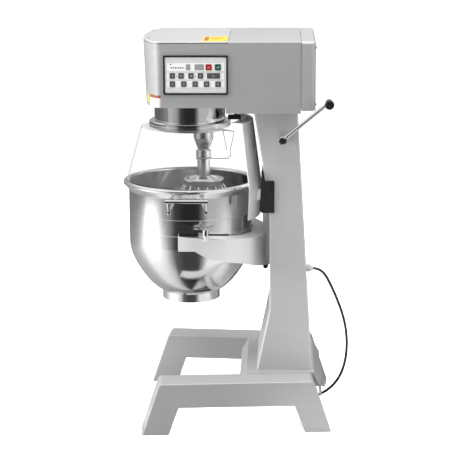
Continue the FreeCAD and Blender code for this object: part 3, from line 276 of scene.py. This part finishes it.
MATERIALS = {
    "base_paint": paint("base_paint", (0.39, 0.392, 0.392), 0.36),
    "column_paint": paint("column_paint", (0.52, 0.522, 0.522), 0.42, sparkle=0.03, mottle=0.05),
    "head_paint": paint("head_paint", (0.38, 0.382, 0.382), 0.36, sparkle=0.03, mottle=0.04),
    "cover_paint": paint("cover_paint", (0.46, 0.462, 0.462), 0.34, mottle=0.04),
    "cap_paint": paint("cap_paint", (0.40, 0.402, 0.402), 0.38, mottle=0.04),
    "yoke_paint": paint("yoke_paint", (0.62, 0.622, 0.622), 0.40, metallic=0.35, mottle=0.03),
    "bezel_black": plastic("bezel_black", (0.012, 0.012, 0.013), 0.5, scuff=0.1),
    "panel_overlay": keypad_film("panel_overlay"),
    "display_dark": plastic("display_dark", (0.20, 0.205, 0.205), 0.25, scuff=0.15, coat=0.4),
    "lamp_red": plastic("lamp_red", (0.05, 0.03, 0.03), 0.25, scuff=0.1, coat=0.5),
    "key_dark": plastic("key_dark", (0.05, 0.05, 0.052), 0.42, scuff=0.3),
    "key_red": plastic("key_red", (0.24, 0.002, 0.008), 0.38, scuff=0.1),
    "key_green": plastic("key_green", (0.002, 0.060, 0.028), 0.38, scuff=0.1),
    "collar_chrome": metal("collar_chrome", (0.88, 0.88, 0.88), 0.09, (0.3, 0.3, 10), 90),
    "ring_chrome": metal("ring_chrome", (0.88, 0.88, 0.88), 0.08, (0.3, 0.3, 10), 90),
    "guard_sheet": metal("guard_sheet", (0.94, 0.94, 0.94), 0.42, (9, 9, 0.4), 120, 0.05, metallic=0.05),
    "bracket_black": plastic("bracket_black", (0.010, 0.010, 0.011), 0.5),
    "screw_steel": metal("screw_steel", (0.70, 0.70, 0.70), 0.22, grain_scale=400),
    "switch_black": plastic("switch_black", (0.016, 0.016, 0.017), 0.4),
    "motor_paint": paint("motor_paint", (0.10, 0.11, 0.12), 0.5, metallic=0.1),
    "drive_iron": metal("drive_iron", (0.22, 0.22, 0.22), 0.55, grain_scale=300, grain_bump=0.3),
    "bearing_steel": metal("bearing_steel", (0.60, 0.60, 0.60), 0.16, (0.4, 0.4, 8)),
    "belt_rubber": plastic("belt_rubber", (0.020, 0.020, 0.020), 0.7, 400, 0.3),
    "gland_nylon": plastic("gland_nylon", (0.42, 0.43, 0.43), 0.45),
    "cord_black": plastic("cord_black", (0.016, 0.016, 0.017), 0.42, 500, 0.1, scuff=0.35),
    "plug_black": plastic("plug_black", (0.018, 0.018, 0.019), 0.35),
    "pulley_steel": metal("pulley_steel", (0.34, 0.34, 0.35), 0.35, (0.4, 0.4, 9)),
    "gear_steel": metal("gear_steel", (0.46, 0.45, 0.43), 0.26, grain_scale=260),
    "carrier_steel": metal("carrier_steel", (0.62, 0.62, 0.62), 0.18, (0.4, 0.4, 9)),
    "agitator_chrome": metal("agitator_chrome", (0.86, 0.86, 0.86), 0.12, (0.5, 0.5, 6), 60, 0.12, 0.08),
    "whisk_aluminium": metal("whisk_aluminium", (0.88, 0.88, 0.87), 0.20, (0.4, 0.4, 8), 110, 0.1),
    "wire_stainless": metal("wire_stainless", (0.88, 0.88, 0.88), 0.16, (3, 3, 1)),
    "clear_plastic": clear_plastic("clear_plastic"),
    "carriage_iron": metal("carriage_iron", (0.30, 0.30, 0.31), 0.4, grain_scale=260, grain_bump=0.2),
    "bowl_stainless": polished_bowl("bowl_stainless"),
    "handle_chrome": metal("handle_chrome", (0.90, 0.90, 0.90), 0.14, (0.5, 4, 4), 120),
    "clamp_chrome": metal("clamp_chrome", (0.90, 0.90, 0.90), 0.13, grain_scale=200),
    "crank_chrome": metal("crank_chrome", (0.90, 0.90, 0.90), 0.11, (1, 6, 6), 120),
    "knob_black": plastic("knob_black", (0.010, 0.010, 0.010), 0.22, coat=0.5),
    "ground_steel": metal("ground_steel", (0.62, 0.62, 0.62), 0.12, (0.4, 0.4, 9)),
}


def dress_nodes():
    """Gives every CAD node the finished material of its slot."""
    slot_of = {part["node"]: part["material_slot"] for part in frame["record"]["subparts"]}
    for name, piece in nodes.items():
        piece.data.materials.clear()
        piece.data.materials.append(MATERIALS[slot_of[name]])


dress_nodes()


# ---- mesh helpers -------------------------------------------------------
def finished(name, mesh, material, body, smooth=True):
    """Puts a bmesh into the scene as a piece that rides on a body."""
    data = bpy.data.meshes.new(name)
    bmesh.ops.recalc_face_normals(mesh, faces=mesh.faces)
    mesh.to_mesh(data)
    mesh.free()
    piece = bpy.data.objects.new(name, data)
    scene.collection.objects.link(piece)
    data.materials.append(MATERIALS[material])
    if smooth:
        for face in data.polygons:
            face.use_smooth = True
        data.set_sharp_from_angle(angle=math.radians(35))
    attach(piece, body)
    return piece


def lathe(mesh, outline, centre, axis, steps=32):
    """Adds a turned shape. The outline is (radius, height) along axis, in metres."""
    axis = Vector(axis).normalized()
    turn = axis.to_track_quat("Z", "Y").to_matrix()
    rings = []
    for radius, height in outline:
        if radius < 1e-7:
            rings.append([mesh.verts.new(centre + turn @ Vector((0, 0, height)))])
            continue
        ring = []
        for k in range(steps):
            angle = 2 * math.pi * k / steps
            point = Vector((radius * math.cos(angle), radius * math.sin(angle), height))
            ring.append(mesh.verts.new(centre + turn @ point))
        rings.append(ring)
    for low, high in zip(rings, rings[1:]):
        for k in range(steps):
            n = (k + 1) % steps
            if len(low) == 1 and len(high) == 1:
                continue
            if len(low) == 1:
                mesh.faces.new((low[0], high[k], high[n]))
            elif len(high) == 1:
                mesh.faces.new((low[k], low[n], high[0]))
            else:
                mesh.faces.new((low[k], low[n], high[n], high[k]))


def closed_ring(mesh, outline, centre, steps=96):
    """Adds a ring turned about the vertical. The outline is a closed loop of (radius, z)."""
    rings = []
    for radius, z in outline:
        ring = []
        for k in range(steps):
            angle = 2 * math.pi * k / steps
            point = Vector((radius * math.cos(angle), radius * math.sin(angle), z))
            ring.append(mesh.verts.new(centre + point))
        rings.append(ring)
    for i, low in enumerate(rings):
        high = rings[(i + 1) % len(rings)]
        for k in range(steps):
            n = (k + 1) % steps
            mesh.faces.new((low[k], low[n], high[n], high[k]))


def bolt_head(mesh, centre, axis, radius, height, socket=True):
    """A round-headed screw with a recessed socket, or a plain domed rivet."""
    outline = [
        (radius * 1.02, -0.0002), (radius * 1.02, height * 0.35),
        (radius * 0.92, height * 0.75), (radius * 0.72, height),
    ]
    if socket:
        outline += [(radius * 0.45, height), (radius * 0.45, height * 0.4), (0, height * 0.4)]
    else:
        outline += [(radius * 0.35, height * 1.1), (0, height * 1.13)]
    lathe(mesh, outline, Vector(centre), axis, 20)


def hex_head(mesh, centre, axis, radius, height):
    """A hexagon bolt head on a washer."""
    step = height * 0.2
    washer = [(0, 0), (radius * 1.35, 0), (radius * 1.35, step), (radius * 0.9, step)]
    head = [(radius, step), (radius, height * 0.9), (radius * 0.86, height), (0, height)]
    lathe(mesh, washer, Vector(centre), axis, 28)
    lathe(mesh, head, Vector(centre), axis, 6)


def slab(mesh, corners, normal, thickness):
    """Adds a thin plate from its outer corners, with its back along minus normal."""
    front = [mesh.verts.new(Vector(c) + Vector(normal) * thickness) for c in corners]
    back = [mesh.verts.new(Vector(c)) for c in corners]
    mesh.faces.new(front)
    mesh.faces.new(list(reversed(back)))
    count = len(corners)
    for k in range(count):
        n = (k + 1) % count
        mesh.faces.new((front[k], back[k], back[n], front[n]))


def rounded_corners(x0, x1, z0, z1, radius, steps=5):
    """Corners of a rounded rectangle as (x, z), in millimetres."""
    points = []
    corners = (
        (x1 - radius, z1 - radius, 0), (x0 + radius, z1 - radius, 90),
        (x0 + radius, z0 + radius, 180), (x1 - radius, z0 + radius, 270),
    )
    for cx, cz, start in corners:
        for k in range(steps + 1):
            angle = math.radians(start + 90 * k / steps)
            points.append((cx + radius * math.cos(angle), cz + radius * math.sin(angle)))
    return points


# ---- mains lead ---------------------------------------------------------
CORD_RADIUS = 0.0042
GLAND_X = 227.7
COIL_X, COIL_Y, COIL_R = 118.0, 72.0, 50.0


def lead_points():
    """The lead's route, then four and a half stored turns in two layers, then the plug's tail."""
    g = 430.0
    e = GLAND_X
    floor = 4.7
    points = [
        (e - 16, 0, g), (e + 11, 0, g), (e + 35, 0, g - 16), (e + 57, -1, g - 58), (e + 79, 0, g - 110),
        (e + 98, 2, g - 168), (e + 106, 6, g - 232), (e + 102, 11, g - 296), (e + 84, 17, g - 352),
        (e + 50, 23, g - 394), (e + 4, 27, g - 418), (e - 48, 25, floor),
        (COIL_X + 22, COIL_Y - COIL_R - 4, floor),
    ]
    per_turn = 16
    turns = 4.5
    for k in range(int(per_turn * turns)):
        share = k / per_turn
        angle = -math.pi / 2 - 2 * math.pi * share
        wobble = 0.7 * math.sin(2.3 * share + 1)
        outer = 54.6 if share < 1 or share >= 3 else 45.6
        radius = outer + wobble
        if 0.85 < share < 1:
            radius = 54.6 - 9 * (share - 0.85) / 0.15
        if 2.85 < share < 3:
            radius = 45.6 + 9 * (share - 2.85) / 0.15
        height = floor if share < 1.85 else floor + min(1.0, (share - 1.85) / 0.25) * 8.5
        points.append((COIL_X + radius * math.cos(angle), COIL_Y + radius * math.sin(angle), height))
    points.append((COIL_X + 14, COIL_Y + COIL_R + 1, 14.8))
    points.append((COIL_X + 24, COIL_Y + COIL_R, 15.5))
    return [at(*p) for p in points]


def make_lead():
    curve = bpy.data.curves.new("mains_lead", "CURVE")
    curve.dimensions = "3D"
    curve.bevel_depth = CORD_RADIUS
    curve.bevel_resolution = 6
    curve.resolution_u = 8
    curve.use_fill_caps = True
    spline = curve.splines.new("NURBS")
    points = lead_points()
    spline.points.add(len(points) - 1)
    for point, place in zip(spline.points, points):
        point.co = (*place, 1.0)
    spline.order_u = 3
    spline.use_endpoint_u = True
    lead = bpy.data.objects.new("mains_lead", curve)
    scene.collection.objects.link(lead)
    curve.materials.append(MATERIALS["cord_black"])
    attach(lead, "frame")
    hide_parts("mains_cord", "cord_coil")
    return lead


lead = make_lead()


def coil_tie():
    """A narrow strap round the stored turns."""
    mesh = bmesh.new()
    steps = 28
    outer, inner = [], []
    for k in range(steps):
        angle = 2 * math.pi * k / steps
        x, z = 10.6 * math.cos(angle), 9.4 * math.sin(angle)
        stretch = 1 / max(abs(math.cos(angle)), abs(math.sin(angle))) ** 0.5
        outer.append((x * stretch, z * stretch))
        inner.append(((x - 0.9 * math.cos(angle)) * stretch, (z - 0.9 * math.sin(angle)) * stretch))
    rows = []
    for y in (-5, 5):
        for ring in (outer, inner):
            places = [at(COIL_X - COIL_R + rx, COIL_Y + y, 9.9 + rz * 0.96) for rx, rz in ring]
            rows.append([mesh.verts.new(place) for place in places])
    near_out, near_in, far_out, far_in = rows
    for k in range(steps):
        n = (k + 1) % steps
        mesh.faces.new((near_out[k], near_out[n], far_out[n], far_out[k]))
        mesh.faces.new((near_in[n], near_in[k], far_in[k], far_in[n]))
        mesh.faces.new((near_out[n], near_out[k], near_in[k], near_in[n]))
        mesh.faces.new((far_out[k], far_out[n], far_in[n], far_in[k]))
    return finished("coil_tie", mesh, "belt_rubber", "frame")


tie = coil_tie()


# ---- labels and small fittings ------------------------------------------
MATERIALS["label_yellow"] = plastic("label_yellow", (0.56, 0.34, 0.012), 0.35, scuff=0.1)
MATERIALS["label_band"] = plastic("label_band", (0.20, 0.06, 0.035), 0.38, scuff=0.1)
MATERIALS["label_white"] = plastic("label_white", (0.40, 0.39, 0.37), 0.38, scuff=0.1)
MATERIALS["label_lime"] = plastic("label_lime", (0.32, 0.36, 0.06), 0.38, scuff=0.1)
MATERIALS["print_grey"] = plastic("print_grey", (0.30, 0.30, 0.30), 0.4, scuff=0.1)
MATERIALS["print_dark"] = plastic("print_dark", (0.03, 0.03, 0.03), 0.4, scuff=0.1)
MATERIALS["gasket_dark"] = plastic("gasket_dark", (0.015, 0.015, 0.015), 0.6)


def slotless(name, mesh, material, body, smooth=True):
    """A piece whose own colour isn't in the record, put in with the material it is given."""
    piece = finished(name, mesh, material, body, smooth)
    return piece


def top_label():
    """A blank yellow sticker on the front cover, with plain darker bars."""
    mesh = bmesh.new()
    corners = [at(x, y, 1135.0) for x, y in rounded_corners(-96, -24, -186, -60, 3)]
    slab(mesh, corners, (0, 0, 1), 0.0004)
    slotless("top_label", mesh, "label_yellow", "frame", False)
    mesh = bmesh.new()
    bars = ((-90, -78, -170, -76), (-72, -34, -96, -90), (-72, -40, -120, -114), (-72, -46, -144, -138))
    for x0, x1, y0, y1 in bars:
        corners = [at(x, y, 1135.4) for x, y in rounded_corners(x0, x1, y0, y1, 1.5, 3)]
        slab(mesh, corners, (0, 0, 1), 0.0002)
    slotless("top_label_marks", mesh, "label_band", "frame", False)


def nose_surface(x, z):
    """The y of the head's near side where its nose curves away."""
    share = (z - 946) / (1135 - 946)
    depth = 53 + 7 * share
    if x >= -214:
        return -200.0
    return -200.0 * math.sqrt(max(0.0, 1 - ((x + 214) / depth) ** 2))


def nose_label(name, x0, x1, z0, z1, material, lift):
    """A sticker that follows the nose's curve."""
    mesh = bmesh.new()
    steps = 12
    rows = []
    for z in (z0, z1):
        row = []
        for k in range(steps + 1):
            x = x0 + (x1 - x0) * k / steps
            y = nose_surface(x, z)
            away = Vector(((x + 214) / 53 ** 2 if x < -214 else 0, y / 200 ** 2, 0)).normalized()
            base = at(x, y, z)
            row.append((mesh.verts.new(base - away * 0.0003), mesh.verts.new(base + away * lift)))
        rows.append(row)
    low, high = rows
    for k in range(steps):
        mesh.faces.new((low[k][1], low[k + 1][1], high[k + 1][1], high[k][1]))
        mesh.faces.new((low[k][0], high[k][0], high[k + 1][0], low[k + 1][0]))
        mesh.faces.new((low[k][0], low[k + 1][0], low[k + 1][1], low[k][1]))
        mesh.faces.new((high[k][0], high[k][1], high[k + 1][1], high[k + 1][0]))
    for k in (0, steps):
        mesh.faces.new((low[k][0], low[k][1], high[k][1], high[k][0]))
    slotless(name, mesh, material, "frame")


def keypad_print():
    """Plain marks between the paired keys and small pictograms without lettering on the keys."""
    mesh = bmesh.new()
    for x in (-165.8, -112.9):
        for dz, width in ((0.0, 3.2), (3.6, 1.8), (-3.6, 1.8)):
            half = width / 2
            diamond = ((0, half), (-half, 0), (0, -half), (half, 0))
            corners = [at(x + dx, -202.0, 1037.5 + dz + ddz) for dx, ddz in diamond]
            slab(mesh, corners, (0, -1, 0), 0.00015)
    slotless("keypad_marks", mesh, "print_dark", "frame", False)
    for name in [n for n in nodes if n.startswith("key_")]:
        low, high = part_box(name)
        middle = (low + high) / 2
        face = low.y
        kind = sum(ord(c) for c in name) % 4
        mesh = bmesh.new()
        bars = {
            0: ((-3, 3, -0.5, 0.5), (-0.5, 0.5, -3, 3)),
            1: ((-3, 3, 1.2, 2.2), (-3, 3, -2.2, -1.2)),
            2: ((-3.2, -2.0, -3, 1), (-0.6, 0.6, -3, 2.2), (2.0, 3.2, -3, 3.2)),
            3: ((-3, 3, -0.5, 0.5), (-2, 2, 1.8, 2.6), (-2, 2, -2.6, -1.8)),
        }[kind]
        for x0, x1, z0, z1 in bars:
            outline = rounded_corners(x0, x1, z0, z1, 0.3, 2)
            corners = [Vector((middle.x + x / 1000, face, middle.z + z / 1000)) for x, z in outline]
            slab(mesh, corners, (0, -1, 0), 0.00012)
        slotless(name + "_mark", mesh, "print_grey", name, False)


def small_hardware():
    """Screws and bolts that the CAD parts leave out."""
    mesh = bmesh.new()
    for y in (-186, -62, 62, 186):
        for z in (956, 1118):
            bolt_head(mesh, at(228.0, y, z), (1, 0, 0), 0.0042, 0.0026)
    finished("cap_screws", mesh, "screw_steel", "frame")
    mesh = bmesh.new()
    for x, y in ((-32, -176), (-32, 176), (-252, -96), (-252, 96)):
        bolt_head(mesh, at(x, y, 1135.0), (0, 0, 1), 0.0040, 0.0016)
    finished("cover_top_screws", mesh, "screw_steel", "frame")
    mesh = bmesh.new()
    for angle in (-24, 0, 24):
        a = math.radians(angle)
        hex_head(mesh, at(-141 + 170 * math.cos(a), 170 * math.sin(a), 886.0), (0, 0, 1), 0.0050, 0.0048)
    finished("guard_bolts", mesh, "screw_steel", "frame")
    mesh = bmesh.new()
    for y in (-44, 44):
        for z in (478, 618):
            hex_head(mesh, at(76.0, y, z), (-1, 0, 0), 0.0065, 0.0060)
    finished("pad_bolts", mesh, "screw_steel", "lift")
    mesh = bmesh.new()
    for side in (-1, 1):
        bolt_head(mesh, at(-86, side * 222, 599.0), (0, 0, 1), 0.0062, 0.0030, False)
    finished("clamp_nuts", mesh, "screw_steel", "lift")
    mesh = bmesh.new()
    for y in (-70, 70):
        stop = [(0.0, 0.0), (0.0060, 0.0), (0.0066, 0.004), (0.0066, 0.010), (0.0, 0.010)]
        lathe(mesh, stop, at(84, y, 446.0), (0, 0, 1), 20)
    slotless("lift_stops", mesh, "gasket_dark", "lift")
    mesh = bmesh.new()
    for k in range(6):
        a = math.pi * k / 3 + 0.3
        bolt_head(mesh, at(-141 + 76 * math.cos(a), 76 * math.sin(a), 868.0), (0, 0, -1), 0.0045, 0.0030)
    finished("carrier_screws", mesh, "screw_steel", "carrier")


def bowl_seams():
    """Two faint rolled beads round the bowl and the weld round its foot."""
    mesh = bmesh.new()
    centre = at(-141, 0, 0)
    for z, radius in ((0.613, 0.1838), (0.565, 0.1838)):
        crest = radius + 0.0006
        bead = [(radius, z - 0.0012), (crest, z - 0.0004), (crest, z + 0.0004), (radius, z + 0.0012)]
        closed_ring(mesh, bead, centre)
    closed_ring(mesh, [(0.0862, 0.3660), (0.0885, 0.3676), (0.0876, 0.3700), (0.0850, 0.3690)], centre)
    finished("bowl_seams", mesh, "bowl_stainless", "lift")


def handle_welds():
    """The weld collars where the handle stays meet the wall."""
    mesh = bmesh.new()
    for side in (-1, 1):
        for end in (-1, 1):
            place = at(-141 + end * 54.0, side * 175.6, 636.0)
            collar = [(0.0, -0.002), (0.0068, -0.002), (0.0062, 0.001), (0.0042, 0.003), (0, 0.003)]
            lathe(mesh, collar, place, (0, side, 0.25), 20)
    finished("handle_welds", mesh, "handle_chrome", "lift")


top_label()
nose_label("nose_label_band", -246, -213, 974, 982, "label_band", 0.0005)
nose_label("nose_label", -246, -213, 948, 974, "label_white", 0.0005)
nose_label("edge_label", -256, -250, 955, 979, "label_lime", 0.0005)
keypad_print()
small_hardware()
bowl_seams()
handle_welds()


# ---- stage --------------------------------------------------------------
STUDIO_PROFILE = (
    # degrees round from straight behind the viewer, brightness
    (-180, 0.42), (-150, 0.42), (-113, 0.46), (-96, 0.62), (-84, 0.92), (-62, 0.92), (-41, 0.62), (-27, 0.10),
    (-10, 0.04), (18, 0.04), (26, 0.30), (34, 0.88), (66, 0.92), (80, 0.55), (92, 0.10), (104, 0.05),
    (110, 0.62), (114, 0.62), (120, 0.08), (150, 0.12), (165, 0.36), (180, 0.42),
)
# Brightness overhead, and the level that lights the scene apart from reflections.
ABOVE = 1.05
LAMP_LEVEL = 0.36
# The floor's share of the walls' brightness, as polished metal shows it.
FLOOR_SHARE = 0.45


def studio_ramp(ramp, share):
    """Fills a colour ramp with the studio's brightness all round."""
    stops = ramp.color_ramp.elements
    while len(stops) > 1:
        stops.remove(stops[-1])
    stops[0].position = 0.0
    stops[0].color = (STUDIO_PROFILE[0][1] * share,) * 3 + (1,)
    for angle, level in STUDIO_PROFILE[1:]:
        stops.new((angle + 180) / 360).color = (level * share, level * share, level * share, 1)


def make_floor():
    """A pale floor. Polished metal sees the studio's profile in it instead of plain white."""
    mesh = bmesh.new()
    corners = [(-14, -1.9), (14, -1.9), (14, 24), (-14, 24)]
    mesh.faces.new([mesh.verts.new((x, y, 0)) for x, y in corners])
    data = bpy.data.meshes.new("floor")
    mesh.to_mesh(data)
    mesh.free()
    floor = bpy.data.objects.new("floor", data)
    scene.collection.objects.link(floor)
    s = Shader("floor_pale")
    pale = s.mixed(s.ranged(s.noise(3, 4), 0.3, 0.7, 0.0, 1.0), (0.86, 0.86, 0.86), (0.90, 0.90, 0.90))
    split = s.add("ShaderNodeSeparateXYZ")
    s.link(s.place, split.inputs[0])
    ahead = s.maths("MULTIPLY", split.outputs["Y"], -1.0)
    aside = s.maths("SUBTRACT", split.outputs["X"], BASE_X - 0.141)
    turn = s.maths("ADD", s.maths("DIVIDE", s.maths("ARCTAN2", aside, ahead), 2 * math.pi), 0.5)
    ramp = s.add("ShaderNodeValToRGB")
    studio_ramp(ramp, FLOOR_SHARE)
    s.link(turn, ramp.inputs["Fac"])
    paths = s.add("ShaderNodeLightPath")
    s.link(s.mixed(paths.outputs["Is Glossy Ray"], pale, ramp.outputs["Color"]), s.out.inputs["Base Color"])
    s.out.inputs["Roughness"].default_value = 0.7
    s.out.inputs["Specular IOR Level"].default_value = 0.2
    s.out.inputs["Emission Color"].default_value = (1, 1, 1, 1)
    glow = s.ranged(paths.outputs["Is Camera Ray"], 0, 1, 0.0, 0.80)
    s.link(glow, s.out.inputs["Emission Strength"])
    data.materials.append(s.material)


def make_world():
    """A studio whose walls carry the dark flags and pale panels that polished metal shows."""
    world = bpy.data.worlds.new("studio")
    scene.world = world
    world.use_nodes = True
    tree = world.node_tree
    add = tree.nodes.new
    link = tree.links.new
    background = tree.nodes["Background"]
    split = add("ShaderNodeSeparateXYZ")
    link(add("ShaderNodeTexCoord").outputs["Generated"], split.inputs[0])

    def maths(operation, first, second=0.0):
        node = add("ShaderNodeMath")
        node.operation = operation
        for socket, value in zip(node.inputs, (first, second)):
            if isinstance(value, (int, float)):
                socket.default_value = value
            else:
                link(value, socket)
        return node.outputs[0]

    def step(source, low, high, out_low, out_high):
        node = add("ShaderNodeMapRange")
        node.interpolation_type = "SMOOTHSTEP"
        limits = {"From Min": low, "From Max": high, "To Min": out_low, "To Max": out_high}
        for name, value in limits.items():
            node.inputs[name].default_value = value
        link(source, node.inputs["Value"])
        return node.outputs["Result"]

    def blend(factor, first, second):
        node = add("ShaderNodeMix")
        node.data_type = "FLOAT"
        for socket_name, value in (("Factor", factor), ("A", first), ("B", second)):
            socket = node.inputs[socket_name]
            if isinstance(value, (int, float)):
                socket.default_value = value
            else:
                link(value, socket)
        return node.outputs["Result"]

    x, y, z = split.outputs["X"], split.outputs["Y"], split.outputs["Z"]
    round_angle = maths("ARCTAN2", x, maths("MULTIPLY", y, -1.0))
    turn = maths("ADD", maths("DIVIDE", round_angle, 2 * math.pi), 0.5)
    ramp = add("ShaderNodeValToRGB")
    studio_ramp(ramp, 1.0)
    link(turn, ramp.inputs["Fac"])
    walls = ramp.outputs["Color"]
    above = step(z, 0.30, 0.70, 0.0, 1.0)
    below = step(z, -0.03, -0.10, 0.0, 1.0)
    level = blend(above, walls, ABOVE)
    level = blend(below, level, maths("MULTIPLY", walls, 0.55))
    paths = add("ShaderNodeLightPath")
    glossy = blend(paths.outputs["Is Glossy Ray"], LAMP_LEVEL, level)
    link(blend(paths.outputs["Is Camera Ray"], glossy, 1.0), background.inputs["Strength"])
    background.inputs["Color"].default_value = (1, 1, 1, 1)


def soft_light(name, place, target, width, height, watts):
    data = bpy.data.lights.new(name, "AREA")
    data.shape = "RECTANGLE"
    data.size, data.size_y = width, height
    data.energy = watts
    light = bpy.data.objects.new(name, data)
    scene.collection.objects.link(light)
    light.location = place
    light.visible_glossy = False
    light.rotation_mode = "QUATERNION"
    light.rotation_quaternion = (Vector(target) - Vector(place)).to_track_quat("-Z", "Y")


make_floor()
make_world()
soft_light("left_softbox", (-3.0, -0.7, 1.5), (0, 0, 0.8), 1.2, 2.4, 230)
soft_light("right_softbox", (3.0, -0.7, 1.3), (0, 0, 0.7), 1.2, 2.0, 45)
soft_light("top_softbox", (0.3, -0.4, 3.2), (0, 0, 0.8), 2.6, 2.0, 165)
